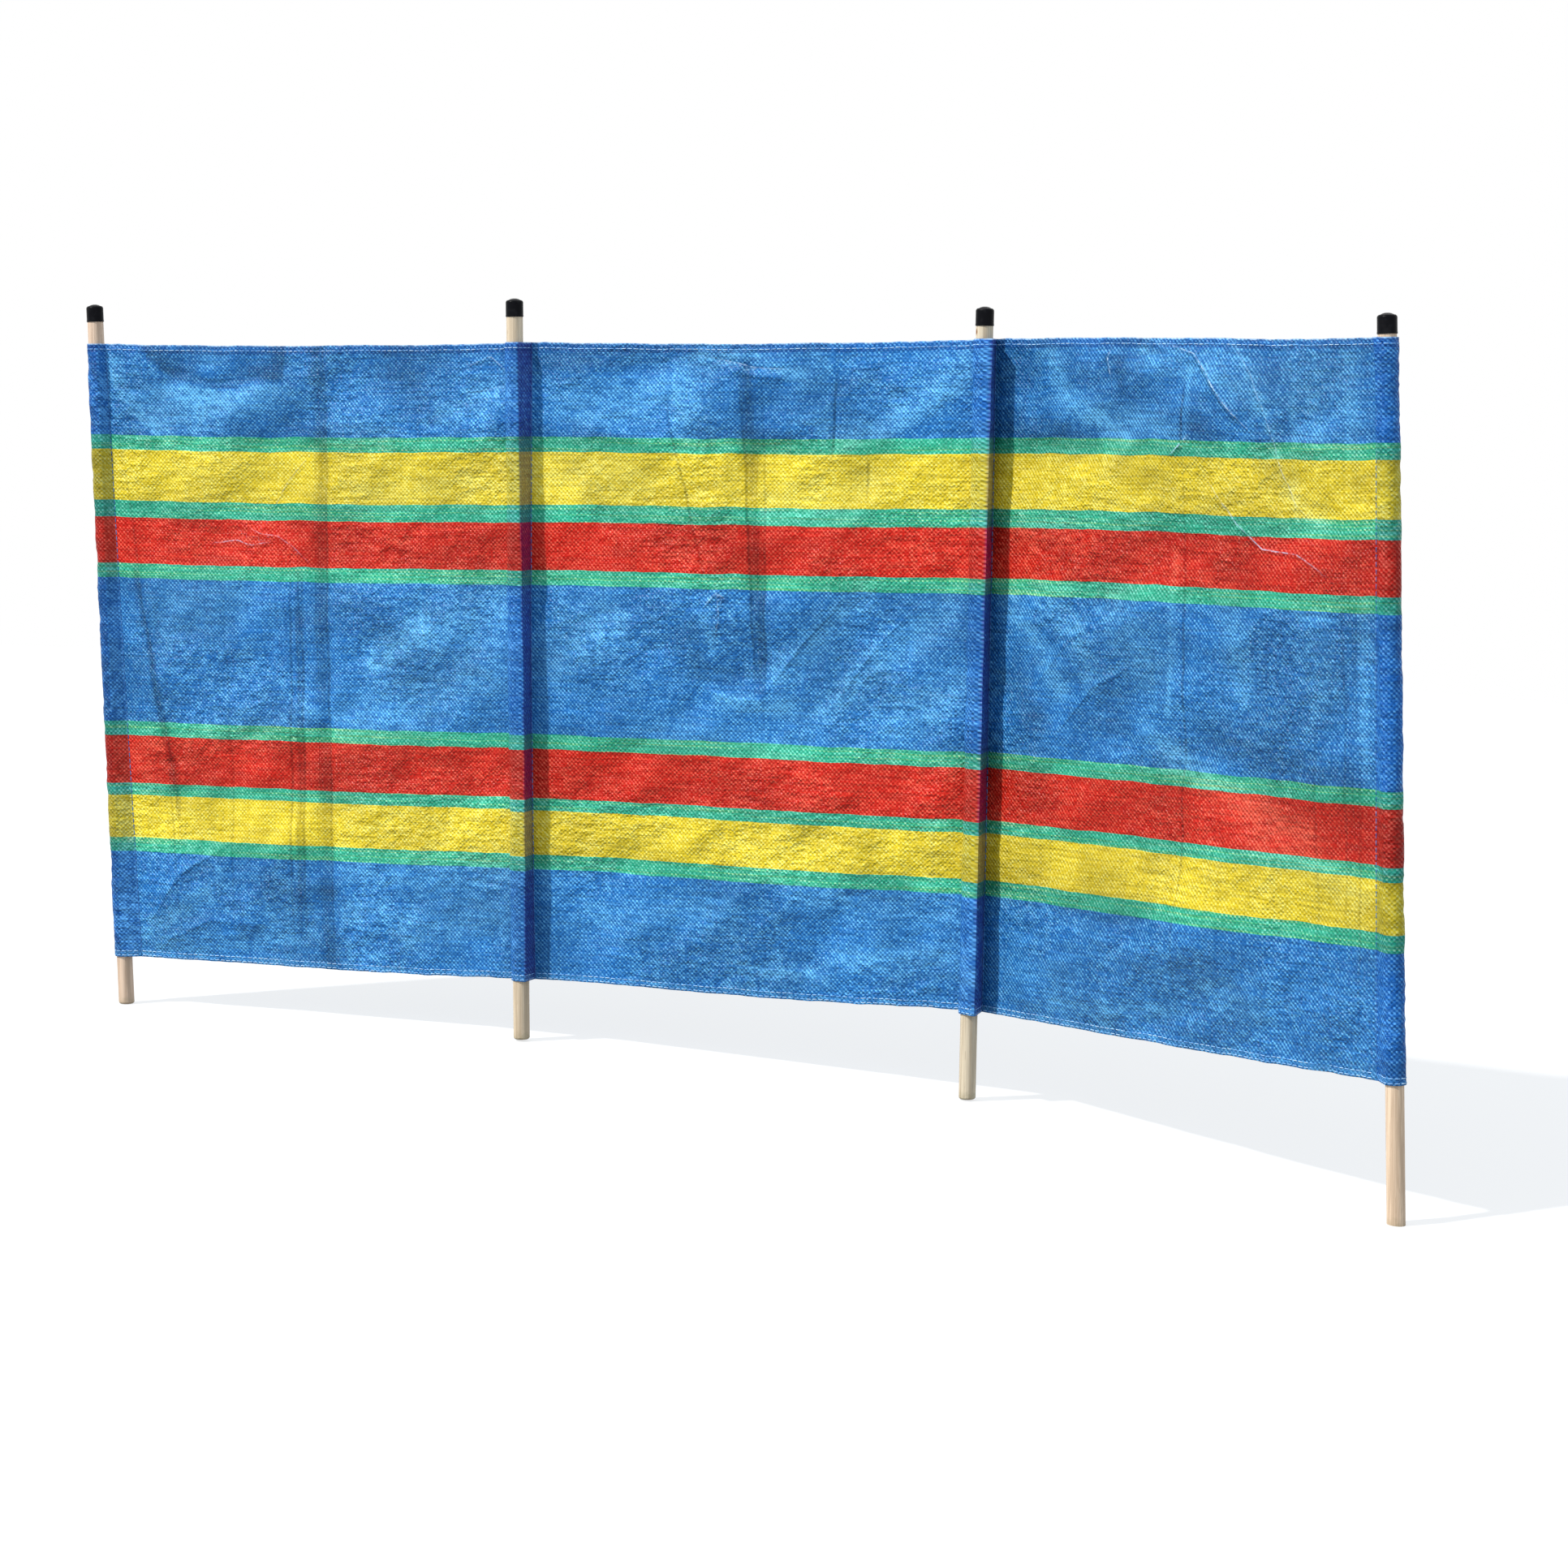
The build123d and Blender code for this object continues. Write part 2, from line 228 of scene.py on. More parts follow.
# what the cloth does in each bay; places are (across, down), each from 0 to 1 of the bay.
# The drape is how many millimetres the cloth hangs low, at five places along each of those levels.
# A crease is a path, how far it stands out, or sinks in where that is below zero, its widths on the
# path's right hand and on its left, and how strong its pale line, partly worn white and partly painted
# highlight, and the painted shade line beside it are; below zero only the painted shade line shows.
# A paintedLight entry is a path, its width, or its widths on the right hand and on the left, and how much
# painted highlight lightens the cloth along it, or how much painted shade darkens it where that is below
# zero.
# Heights and widths are in metres.
bayLooks = {
    "left_bay": {
        "seed": 3.7,
        "drape": {"top": (0, 4, 5, 4, 1), "upper": (1, 4, 4, 3, 0),
                  "lower": (1.5, 1, 0, -2.5, -5), "bottom": (-1, -1, -1, -3, -8)},
        "creases": [
            ([(0.525, 0.0), (0.52, 0.5), (0.508, 1.0)], -0.004, (0.024, 0.003), -0.6),
            ([(0.435, 0.33), (0.405, 1.0)], -0.001, (0.006, 0.008), -0.7),
            ([(0.462, 0.36), (0.44, 0.95)], -0.001, (0.004, 0.006), -0.8),
            ([(0.02, 0.12), (0.045, 0.25), (0.06, 0.4), (0.1, 0.6), (0.14, 0.85)],
             0.0022, (0.012, 0.005), -0.6),
            ([(0.075, 0.5), (0.105, 0.7), (0.125, 0.95)], -0.001, (0.005, 0.008), -0.6),
            ([(0.27, 0.4), (0.26, 0.95)], -0.001, (0.006, 0.006), -0.4),
            ([(0.245, 0.315), (0.3, 0.311), (0.335, 0.318), (0.375, 0.312)], 0.0016, (0.006, 0.006), 0.45),
            ([(0.325, 0.288), (0.36, 0.299), (0.4, 0.302), (0.435, 0.318), (0.475, 0.345)],
             0.0026, (0.008, 0.006), 0.25),
            ([(0.48, 0.17), (0.42, 0.22), (0.37, 0.285)], 0.002, (0.008, 0.012), 0.2),
            ([(0.09, 0.015), (0.16, 0.04), (0.26, 0.06), (0.36, 0.05), (0.42, 0.02)],
             -0.0025, (0.01, 0.02), 0),
            ([(0.01, 0.03), (0.06, 0.1), (0.13, 0.13), (0.2, 0.16)], 0.003, (0.03, 0.02), 0),
            ([(0.0, 0.97), (0.12, 0.86), (0.26, 0.8)], 0.006, (0.02, 0.03), 0),
            ([(0.04, 0.98), (0.2, 0.93), (0.4, 0.94)], 0.005, (0.02, 0.03), 0),
            ([(0.86, 0.035), (0.91, 0.02), (0.95, 0.045)], 0.003, (0.006, 0.012), 0.4),
            ([(0.88, 0.075), (0.94, 0.065), (0.99, 0.08)], -0.005, (0.006, 0.01), 0.3),
        ],
        "paintedLight": [
            ([(0.0, 0.03), (0.03, 0.08), (0.07, 0.115), (0.12, 0.145)], (0.005, 0.022), 0.85),
            ([(0.18, 0.072), (0.3, 0.08), (0.39, 0.066)], (0.045, 0.006), 0.55),
            ([(0.13, 0.1), (0.25, 0.05)], 0.04, 0.55),
            ([(0.22, 0.11), (0.36, 0.07)], 0.028, 0.5),
            ([(0.5, 0.1), (0.6, 0.05)], 0.025, 0.35),
            ([(0.8, 0.1), (0.97, 0.07)], 0.03, 0.5),
            ([(0.56, 0.15), (0.66, 0.13)], 0.03, 0.25),
            ([(0.6, 0.235), (0.97, 0.215)], 0.03, 0.4),
            ([(0.15, 0.2), (0.45, 0.17)], 0.03, 0.2),
            ([(0.63, 0.505), (0.73, 0.445)], 0.022, 0.7),
            ([(0.44, 0.585), (0.51, 0.585)], 0.012, 0.8),
            ([(0.76, 0.45), (0.98, 0.4)], 0.04, 0.5),
            ([(0.55, 0.6), (0.97, 0.5)], 0.055, 0.35),
            ([(0.1, 0.44), (0.3, 0.4)], 0.05, 0.35),
            ([(0.03, 0.66), (0.35, 0.6)], 0.04, 0.2),
            ([(0.55, 0.87), (0.97, 0.83)], 0.04, 0.4),
            ([(0.7, 0.93), (0.97, 0.9)], 0.03, 0.4),
            ([(0.0, 0.97), (0.2, 0.88)], 0.02, 0.5),
            ([(0.05, 0.985), (0.45, 0.95)], 0.018, 0.4),
            ([(0.2, 0.82), (0.23, 0.85)], 0.006, 0.8),
            ([(0.36, 0.92), (0.62, 0.9)], 0.02, 0.3),
            ([(0.11, 0.02), (0.16, 0.05), (0.24, 0.062), (0.3, 0.066), (0.36, 0.052), (0.42, 0.05),
              (0.43, 0.02)], (0.005, 0.026), -1.1),
            ([(0.28, 0.14), (0.5, 0.14)], 0.03, -0.4),
            ([(0.58, 0.04), (0.78, 0.05)], 0.05, -0.6),
            ([(0.02, 0.14), (0.12, 0.155)], 0.02, -0.6),
            ([(0.51, 0.0), (0.503, 0.5), (0.495, 1.0)], 0.016, -0.8),
            ([(0.08, 0.9), (0.22, 0.83)], 0.014, -0.6),
            ([(0.35, 0.87), (0.7, 0.875)], 0.016, -0.5),
            ([(0.05, 0.52), (0.12, 0.62)], 0.03, -0.3),
            ([(0.045, 0.36), (0.09, 0.58), (0.125, 0.76)], 0.006, -0.9),
            ([(0.08, 0.5), (0.115, 0.72)], 0.005, -0.6),
            ([(0.45, 0.36), (0.425, 0.95)], 0.006, -0.7),
        ],
    },
    "middle_bay": {
        "seed": 11.2,
        "drape": {"top": (1, 4, 5, 3, -1), "upper": (0, -1, 0, 0, -3),
                  "lower": (-5, -4.5, -3, -1, -1.5), "bottom": (-8, -6, -1.5, -1.5, -0.5)},
        "creases": [
            ([(0.4, 0.02), (0.46, 0.03), (0.495, 0.036), (0.57, 0.04)], -0.006, (0.01, 0.004), 0.5),
            ([(0.42, 0.035), (0.5, 0.048), (0.58, 0.055)], 0.005, (0.005, 0.012), 0),
            ([(0.47, 0.04), (0.485, 0.25), (0.5, 0.4), (0.51, 0.56)], -0.0018, (0.008, 0.01), -0.8),
            ([(0.515, 0.04), (0.525, 0.25), (0.53, 0.56)], -0.001, (0.004, 0.006), -0.6),
            ([(0.305, 0.08), (0.33, 0.17), (0.37, 0.28), (0.4, 0.353)], -0.0016, (0.006, 0.004), -0.7),
            ([(0.675, 0.05), (0.668, 0.18)], -0.002, (0.005, 0.005), -0.9),
            ([(0.745, 0.16), (0.742, 0.24)], -0.0018, (0.005, 0.005), -0.7),
            ([(0.4, 0.4), (0.425, 0.38), (0.45, 0.395)], 0.004, (0.006, 0.008), 0.5),
            ([(0.425, 0.38), (0.43, 0.42), (0.42, 0.45)], 0.003, (0.006, 0.006), 0.3),
            ([(0.5, 0.56), (0.6, 0.46), (0.7, 0.38)], 0.005, (0.02, 0.03), 0),
            ([(0.66, 0.56), (0.76, 0.46), (0.84, 0.4)], 0.005, (0.02, 0.03), 0),
            ([(0.36, 0.52), (0.46, 0.545), (0.56, 0.54)], 0.004, (0.012, 0.02), 0),
        ],
        "paintedLight": [
            ([(0.38, 0.012), (0.5, 0.02)], 0.014, 0.8),
            ([(0.53, 0.035), (0.6, 0.05)], 0.01, 0.7),
            ([(0.1, 0.1), (0.3, 0.07)], 0.045, 0.45),
            ([(0.32, 0.07), (0.33, 0.13)], (0.004, 0.045), 0.55),
            ([(0.66, 0.06), (0.655, 0.14)], (0.05, 0.004), 0.4),
            ([(0.72, 0.155), (0.8, 0.135), (0.9, 0.09), (0.985, 0.045)], (0.005, 0.038), 0.75),
            ([(0.02, 0.21), (0.22, 0.21)], 0.04, 0.5),
            ([(0.48, 0.24), (0.75, 0.215)], 0.03, 0.45),
            ([(0.5, 0.262), (0.72, 0.262)], 0.012, 0.5),
            ([(0.43, 0.545), (0.58, 0.555)], 0.014, 0.8),
            ([(0.05, 0.5), (0.2, 0.42)], 0.05, 0.45),
            ([(0.4, 0.42), (0.42, 0.48)], 0.012, 0.5),
            ([(0.52, 0.52), (0.74, 0.38)], 0.025, 0.5),
            ([(0.66, 0.55), (0.9, 0.4)], 0.03, 0.5),
            ([(0.8, 0.58), (0.97, 0.5)], 0.04, 0.4),
            ([(0.25, 0.6), (0.6, 0.61)], 0.03, 0.3),
            ([(0.7, 0.93), (0.97, 0.92)], 0.02, 0.5),
            ([(0.1, 0.9), (0.45, 0.87)], 0.03, 0.3),
            ([(0.48, 0.96), (0.66, 0.965)], 0.012, 0.5),
            ([(0.62, 0.84), (0.97, 0.86)], 0.03, 0.3),
            ([(0.48, 0.03), (0.495, 0.25), (0.51, 0.4)], 0.012, -1.1),
            ([(0.02, 0.03), (0.3, 0.03)], 0.018, -0.5),
            ([(0.05, 0.14), (0.25, 0.155)], 0.018, -0.5),
            ([(0.48, 0.15), (0.62, 0.155)], 0.02, -0.6),
            ([(0.512, 0.39), (0.52, 0.53)], 0.012, -1.0),
            ([(0.38, 0.5), (0.49, 0.51)], 0.022, -0.6),
            ([(0.22, 0.4), (0.36, 0.44)], 0.025, -0.4),
            ([(0.6, 0.09), (0.75, 0.045)], 0.014, -0.4),
        ],
    },
    "right_bay": {
        "seed": 23.9,
        "drape": {"top": (-1, -1, 1, 4, 3), "upper": (-3, -5.5, -6.5, -5, -7),
                  "lower": (-1.5, -2.5, -3, -4.5, -5), "bottom": (-0.5, 0, 1, 1, -1)},
        "creases": [
            ([(0.33, 0.012), (0.32, 0.03), (0.33, 0.06)], 0.0035, (0.004, 0.006), 0.7),
            ([(0.49, 0.01), (0.55, 0.022), (0.59, 0.048), (0.63, 0.085), (0.69, 0.125)],
             0.004, (0.007, 0.005), 0.8),
            ([(0.655, 0.01), (0.7, 0.05), (0.73, 0.095), (0.75, 0.14), (0.77, 0.18), (0.81, 0.235),
              (0.86, 0.26)], 0.0014, (0.007, 0.006), 0.3),
            ([(0.535, 0.06), (0.53, 0.16)], -0.003, (0.005, 0.005), -1.0),
            ([(0.5, 0.165), (0.52, 0.155), (0.545, 0.14)], 0.004, (0.004, 0.006), 0.9),
            ([(0.53, 0.16), (0.53, 0.5), (0.515, 0.95)], -0.001, (0.004, 0.006), -0.8),
            ([(0.597, 0.21), (0.66, 0.26), (0.727, 0.295), (0.81, 0.3), (0.866, 0.323)],
             0.002, (0.006, 0.005), 0.55),
            ([(0.12, 0.52), (0.22, 0.44), (0.32, 0.4)], 0.005, (0.015, 0.02), 0),
            ([(0.18, 0.58), (0.3, 0.5), (0.42, 0.46)], 0.005, (0.015, 0.02), 0),
            ([(0.92, 0.36), (0.935, 0.6), (0.93, 0.8)], 0.0015, (0.006, 0.006), -0.6),
            ([(0.95, 0.1), (0.955, 0.35), (0.95, 0.55)], 0.0012, (0.005, 0.005), -0.4),
            ([(0.86, 0.5), (0.865, 0.95)], -0.0008, (0.005, 0.005), -0.4),
            ([(0.965, 0.55), (0.96, 0.95)], -0.0008, (0.005, 0.005), -0.5),
        ],
        "paintedLight": [
            ([(0.655, 0.01), (0.7, 0.05), (0.75, 0.14), (0.77, 0.18), (0.81, 0.235), (0.86, 0.26)],
             0.01, 0.7),
            ([(0.8, 0.04), (0.81, 0.25)], 0.006, 0.4),
            ([(0.545, 0.05), (0.54, 0.15)], 0.006, 0.6),
            ([(0.17, 0.02), (0.2, 0.07), (0.27, 0.105), (0.37, 0.135)], (0.034, 0.01), 0.8),
            ([(0.3, 0.11), (0.5, 0.135)], 0.026, 0.5),
            ([(0.42, 0.02), (0.54, 0.045)], 0.02, 0.6),
            ([(0.6, 0.05), (0.75, 0.09)], 0.025, 0.5),
            ([(0.83, 0.03), (0.86, 0.14)], 0.035, 0.4),
            ([(0.93, 0.02), (0.94, 0.15)], 0.02, 0.5),
            ([(0.05, 0.385), (0.13, 0.44), (0.21, 0.51)], 0.018, 0.65),
            ([(0.14, 0.37), (0.24, 0.42), (0.3, 0.5)], 0.02, 0.5),
            ([(0.36, 0.38), (0.44, 0.48)], 0.04, 0.4),
            ([(0.505, 0.31), (0.49, 0.53)], 0.008, 0.5),
            ([(0.64, 0.37), (0.68, 0.5)], 0.02, 0.5),
            ([(0.97, 0.36), (0.97, 0.6)], 0.012, 0.5),
            ([(0.85, 0.38), (0.87, 0.48)], 0.03, 0.3),
            ([(0.42, 0.555), (0.53, 0.6)], 0.016, 0.5),
            ([(0.49, 0.595), (0.6, 0.625), (0.72, 0.655), (0.84, 0.68)], 0.018, 0.95),
            ([(0.72, 0.69), (0.86, 0.72), (0.95, 0.76)], 0.028, 0.6),
            ([(0.2, 0.97), (0.5, 0.955)], 0.014, 0.5),
            ([(0.5, 0.9), (0.75, 0.93)], 0.03, 0.25),
            ([(0.05, 0.93), (0.25, 0.93)], 0.03, 0.2),
            ([(0.08, 0.29), (0.22, 0.27)], 0.018, 0.5),
            ([(0.78, 0.2), (0.86, 0.26)], 0.02, 0.4),
            ([(0.05, 0.13), (0.28, 0.15)], 0.024, -0.7),
            ([(0.04, 0.05), (0.13, 0.05)], 0.03, -0.5),
            ([(0.35, 0.03), (0.36, 0.07)], 0.016, -0.6),
            ([(0.55, 0.12), (0.62, 0.14)], 0.018, -0.5),
            ([(0.05, 0.5), (0.14, 0.55)], 0.022, -0.5),
            ([(0.25, 0.55), (0.38, 0.56)], 0.022, -0.5),
            ([(0.6, 0.56), (0.95, 0.6)], 0.022, -0.5),
            ([(0.05, 0.8), (0.45, 0.82)], 0.03, -0.3),
        ],
    },
}


# how far points lie from a path on the bay, on which side, and how far along it they are, from 0 to 1
def nearPath(x, z, bayPath, length):
    path = [(across * length, clothTop - down * clothHeight) for across, down in bayPath]
    steps = [np.hypot(b[0] - a[0], b[1] - a[1]) for a, b in zip(path, path[1:])]
    total, gone = sum(steps), 0.0
    nearest = np.full(len(x), farAway)
    side = np.ones(len(x))
    place = np.zeros(len(x))
    for (ax, az), (bx, bz), step in zip(path, path[1:], steps):
        ux, uz = (bx - ax) / step, (bz - az) / step
        share = np.clip((x - ax) * ux + (z - az) * uz, 0, step)
        dx, dz = x - ax - ux * share, z - az - uz * share
        far = np.hypot(dx, dz)
        closer = far < nearest
        nearest = np.where(closer, far, nearest)
        side = np.where(closer, np.sign(ux * dz - uz * dx), side)
        place = np.where(closer, (gone + share) / total, place)
        gone += step
    return nearest, side, place


# the height of all the creases, and what the material needs to draw the nearest one as a thin line:
# how far off it is, with its side as sign, how high it stands, and how strong its pale line, partly worn
# white and partly painted highlight, and its painted shade line are
def creaseShape(name, x, z, length):
    height = np.zeros(len(x))
    far, rise, pale = np.full(len(x), farAway), np.zeros(len(x)), np.zeros(len(x))
    for path, depth, (first, second), worn in bayLooks[name]["creases"]:
        nearest, side, place = nearPath(x, z, path, length)
        fade = np.sin(np.clip(place, 0.02, 0.98) * pi) ** 0.5     # it runs out at its ends
        height += depth * fade * np.exp(-nearest / np.where(side > 0, second, first))
        closer = nearest < np.abs(far)
        far = np.where(closer, nearest * side, far)
        rise = np.where(closer, depth * fade, rise)
        pale = np.where(closer, worn * fade, pale)
    return height, {"creaseFar": far, "creaseRise": rise, "creasePale": pale}


# painted light and shade: how much lighter or darker the cloth's colour is painted, from -1 to 1
def bayPaintedLight(name, x, z, length):
    paintedLight = np.zeros(len(x))
    for path, widths, amount in bayLooks[name]["paintedLight"]:
        far, side = nearPath(x, z, path, length)[:2]
        first, second = widths if isinstance(widths, tuple) else (widths, widths)
        paintedLight += amount * np.exp(-(far / np.where(side > 0, second, first)) ** 2)
    return np.clip(paintedLight, -1, 1)


# the stretched cloth's waves, as layers; it lies calmer towards its seams and its edges
reliefSettings = {
    "waves": [(0.015, 0.20, 2.2, 35, 0), (0.0095, 0.09, 2.0, 38, 4), (0.0040, 0.045, 1.8, 42, 6)],
    "ridges": (0.0012, 0.034, 1.6, 40, 8),
    "calmSeams": (0.13, 0.10),      # how far in from the left and the right seam, as shares
    "calmEdges": 0.05,              # and from the top and the bottom
    "edgeShare": 0.35,              # how much of the waves is left at the edges
}


def bayRelief(name, x, z, length):
    setting, seed = reliefSettings, bayLooks[name]["seed"]
    across, down = x / length, (clothTop - z) / clothHeight
    relief = sum(layerOf(noiseField, x, z, layer, seed) for layer in setting["waves"])
    relief += layerOf(ridgeField, x, z, setting["ridges"], seed)
    height, looks = creaseShape(name, x, z, length)
    looks["paintedLight"] = bayPaintedLight(name, x, z, length)
    left, right = setting["calmSeams"]
    edge, least = setting["calmEdges"], setting["edgeShare"]
    calm = smoothStep(across / left) * smoothStep((1 - across) / right)
    calm *= least + (1 - least) * smoothStep(down / edge) * smoothStep((1 - down) / edge)
    return (relief + height) * calm, looks


# how far the cloth has dropped from its straight lines
def drapeDrop(name, across, z):
    places, levels = np.linspace(0, 1, 5), drapeSettings["levels"]
    drops = [np.polyval(np.polyfit(places, row, 4), across) for row in bayLooks[name]["drape"].values()]
    down = np.clip((clothTop - z) / clothHeight, 0, 1)
    drop = drops[0]
    for start, end, first, second in zip(levels, levels[1:], drops, drops[1:]):
        share = np.clip((down - start) / (end - start), 0, 1)
        drop = drop + (second - first) * share
    fall = z * drapeSettings["waveFall"]
    wave = sum(layerOf(noiseField, across, fall, layer) for layer in drapeSettings["waves"])
    return (drop + drapeSettings["waveHeight"] * wave) * 0.001      # in metres


# a point of a bay's cloth, behind its front layer by so much
def bayPoint(bay, across, z, behind):
    name = bayNames[bay]
    left, right = seamLine(bay, bay, z), seamLine(bay + 1, bay, z)
    span = right - left
    length = float(np.linalg.norm(span, axis=1).mean())
    forward = unit(np.cross(span, (0, 0, 1)))
    points = left + span * across[:, None]
    relief, looks = bayRelief(name, across * length, z, length)
    points += forward * (relief - behind)[:, None]
    points[:, 2] -= drapeDrop(name, across, z)
    return points, length, looks


def makeBay(bay):
    name = bayNames[bay]
    rows = turnedRows(clothBottom, clothTop)
    columns = round(bayLengths[bay] / clothSettings["spacing"])
    start = sum(bayLengths[:bay])

    def place(column, row):
        across, z = column / columns, rows[row, 0]
        points, length, looks = bayPoint(bay, across, z, rows[row, 1])
        return points, np.stack([1 + start + across * length, z - clothBottom], 1), looks

    sheet = clothGrid(name + "_cloth", columns, len(rows) - 1, place)
    finishCloth(sheet)
    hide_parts(name, name + "_top_hem", name + "_bottom_hem")
    return sheet


# a sewn pocket is one layer round the pole, whose two sides meet in a seam
pocketSettings = {
    "radius": 0.0159,       # middle of the cloth, from the pole's axis
    "columns": 60,
    "seamGap": 0.0006,      # from the seam to each of the two layers
    "flap": 0.009,          # an end pocket's allowance, behind its bay
    "tail": 0.0015,         # the front layer's lap over its bay
    "pressed": 0.0006,      # from the outer layer to the turned one, where the seam holds them
    "held": 0.008,          # how far from the seam that hold reaches
    "slack": (0.0008, 0.09, 1.0, 0, 5.0),
    "creaseSoftness": 0.06, # in radians
    "flankSoftness": 0.08,
    "crumple": (0.0014, 0.030, 1.5, 50, 7.0),
    "ridges": (0.0012, 0.018, 1.5, 40, 9.0),
    "deepest": 0.0005,      # how far the crumple may sink in
    # the wrinkles and patches are painted highlights in the pocket's colour
    "wrinkle": (1.0, 0.024, 2.0, 50, 33.0),
    "wrinkleCrest": (0.60, 0.30),   # how high on its ridge a wrinkle gets a painted highlight, and how fast
    "patch": (1.0, 0.05, 1.5, 60, 15.0),
    "patchShine": 0.30,
    # for each pole, how far down its painted wrinkle highlights are, their reach and their strength
    "wrinkles": [[(0.07, 0.06, 0.7), (0.30, 0.10, 0.5), (0.53, 0.06, 1.0), (0.94, 0.06, 1.0)],
                 [(0.10, 0.10, 0.3), (0.80, 0.15, 0.3)],
                 [(0.10, 0.10, 0.3), (0.93, 0.06, 0.9)],
                 [(0.30, 0.15, 0.5), (0.75, 0.20, 0.3)]],
    # for each pole, painted light on its pocket's front and on its flank: darker below zero, lighter above
    "paintedShine": [(-0.8, 0.45), (0.0, 0.0), (0.0, 0.0), (-0.3, 0.0)],
}


# which bay a pocket's seam is measured on, and the way the tails point along the row
def pocketSeam(pole):
    return (pole - 1, -1) if pole == len(poleNames) - 1 else (pole, 1)


def hasFlap(pole):
    return pole in (0, len(poleNames) - 1)


# a level direction turned by a quarter, to the back of the row
def quarterTurn(level, way):
    return np.stack([-level[:, 1], level[:, 0], np.zeros(len(level))], 1) * way


# points of a pocket's cloth: share runs from the front layer's tail round the pole to the back layer's,
# and inward is how far they lie inside the outer layer. Across the pole the outline is straight from
# the seam to where it touches a circle, then round that circle and straight back to the seam.
def pocketPoints(pole, share, z, inward):
    setting = pocketSettings
    bay, way = pocketSeam(pole)
    axis, seam = atLevel(poleAxes[pole], z), seamLine(pole, bay, z)
    rowWay = unit((seamLine(pole + way, bay, z) - seam) * (1, 1, 0))
    rowBack = quarterTurn(rowWay, way)
    toSeam = (seam - axis) * (1, 1, 0)
    reach = np.linalg.norm(toSeam, axis=1)
    ahead = unit(toSeam)
    back = quarterTurn(ahead, way)
    poles = np.full(len(z), float(pole))
    radius = setting["radius"] + layerOf(noiseField, poles, z, setting["slack"])
    beta = np.arccos(radius / reach)        # angle from the seam to where the circle is touched
    straight = np.sqrt(reach ** 2 - radius ** 2)
    total = 2 * straight + radius * (2 * pi - 2 * beta)
    backTail = setting["flap"] if hasFlap(pole) else 0.0
    gone = share * (total + setting["tail"] + backTail) - setting["tail"]      # below 0 on the tail
    angle = -beta - np.clip((gone - straight) / radius, 0, 2 * pi - 2 * beta)
    # the cloth stands off the pole in a crease where its front meets its side
    rise = np.arctan2((ahead * rowBack).sum(1), (ahead * rowWay).sum(1))
    square = -(pi / 2 + rise)
    half, middle = (-beta - square) / 2, (square - beta) / 2
    soft = setting["creaseSoftness"]
    turned = np.clip(half + soft - np.sqrt((angle - middle) ** 2 + soft ** 2), 0, half)
    rim = radius / np.cos(turned)
    onArc = np.stack([rim * np.cos(angle), rim * np.sin(angle)], 1)
    front = 1 - np.clip(gone / straight, 0, 1)
    rear = np.clip((gone - total + straight) / straight, 0, 1)
    local = onArc.copy()
    local[:, 0] += (reach - onArc[:, 0]) * (front + rear)
    local[:, 1] += -onArc[:, 1] * (front + rear) + setting["seamGap"] * (rear - front)
    # near the seam the layers are held together, and elsewhere they crumple
    held = np.clip(np.minimum(gone, total - gone) / setting["held"], 0, 1)
    normal = np.stack([np.cos(angle), np.sin(angle)], 1)
    crumple = layerOf(noiseField, gone, z, setting["crumple"], pole)
    crumple += layerOf(ridgeField, gone, z, setting["ridges"], pole)
    pressed = np.minimum(inward, setting["pressed"])
    inward = pressed + (inward - pressed) * held
    local += normal * (np.maximum(crumple, -setting["deepest"]) * held - inward)[:, None]
    points = axis + ahead * local[:, :1] + back * local[:, 1:]
    past = np.maximum(-gone, 0) + np.maximum(gone - total, 0)
    points += rowWay * past[:, None]
    points[:, 2] -= drapeDrop(bayNames[bay], np.full(len(z), 0.0 if way > 0 else 1.0), z)
    # the flank is the side turned away from the sun, which the material darkens with painted shade
    flank = smoothStep((angle - middle) / setting["flankSoftness"] + 0.5) * (way > 0)
    return points, gone, flank


# painted light on a pocket: highlight patches, highlights on wrinkles where it is crumpled, and its front
# and flank painted darker or lighter, as the pole's paintedShine says
def pocketPaintedLight(pole, gone, z, flank):
    setting = pocketSettings
    down = (clothTop - z) / clothHeight
    crumpled = np.zeros(len(z))
    for middle, reach, strength in setting["wrinkles"][pole]:
        crumpled += strength * np.exp(-((down - middle) / reach) ** 2)
    start, fade = setting["wrinkleCrest"]
    wrinkle = smoothStep((layerOf(ridgeField, gone, z, setting["wrinkle"], pole) - start) / fade)
    patch = layerOf(noiseField, gone, z, setting["patch"], pole) + 0.5
    front, side = setting["paintedShine"][pole]
    face = setting["patchShine"] * smoothStep(patch) + front
    return np.clip(face * (1 - flank) + side * flank + crumpled * wrinkle, -1, 1)


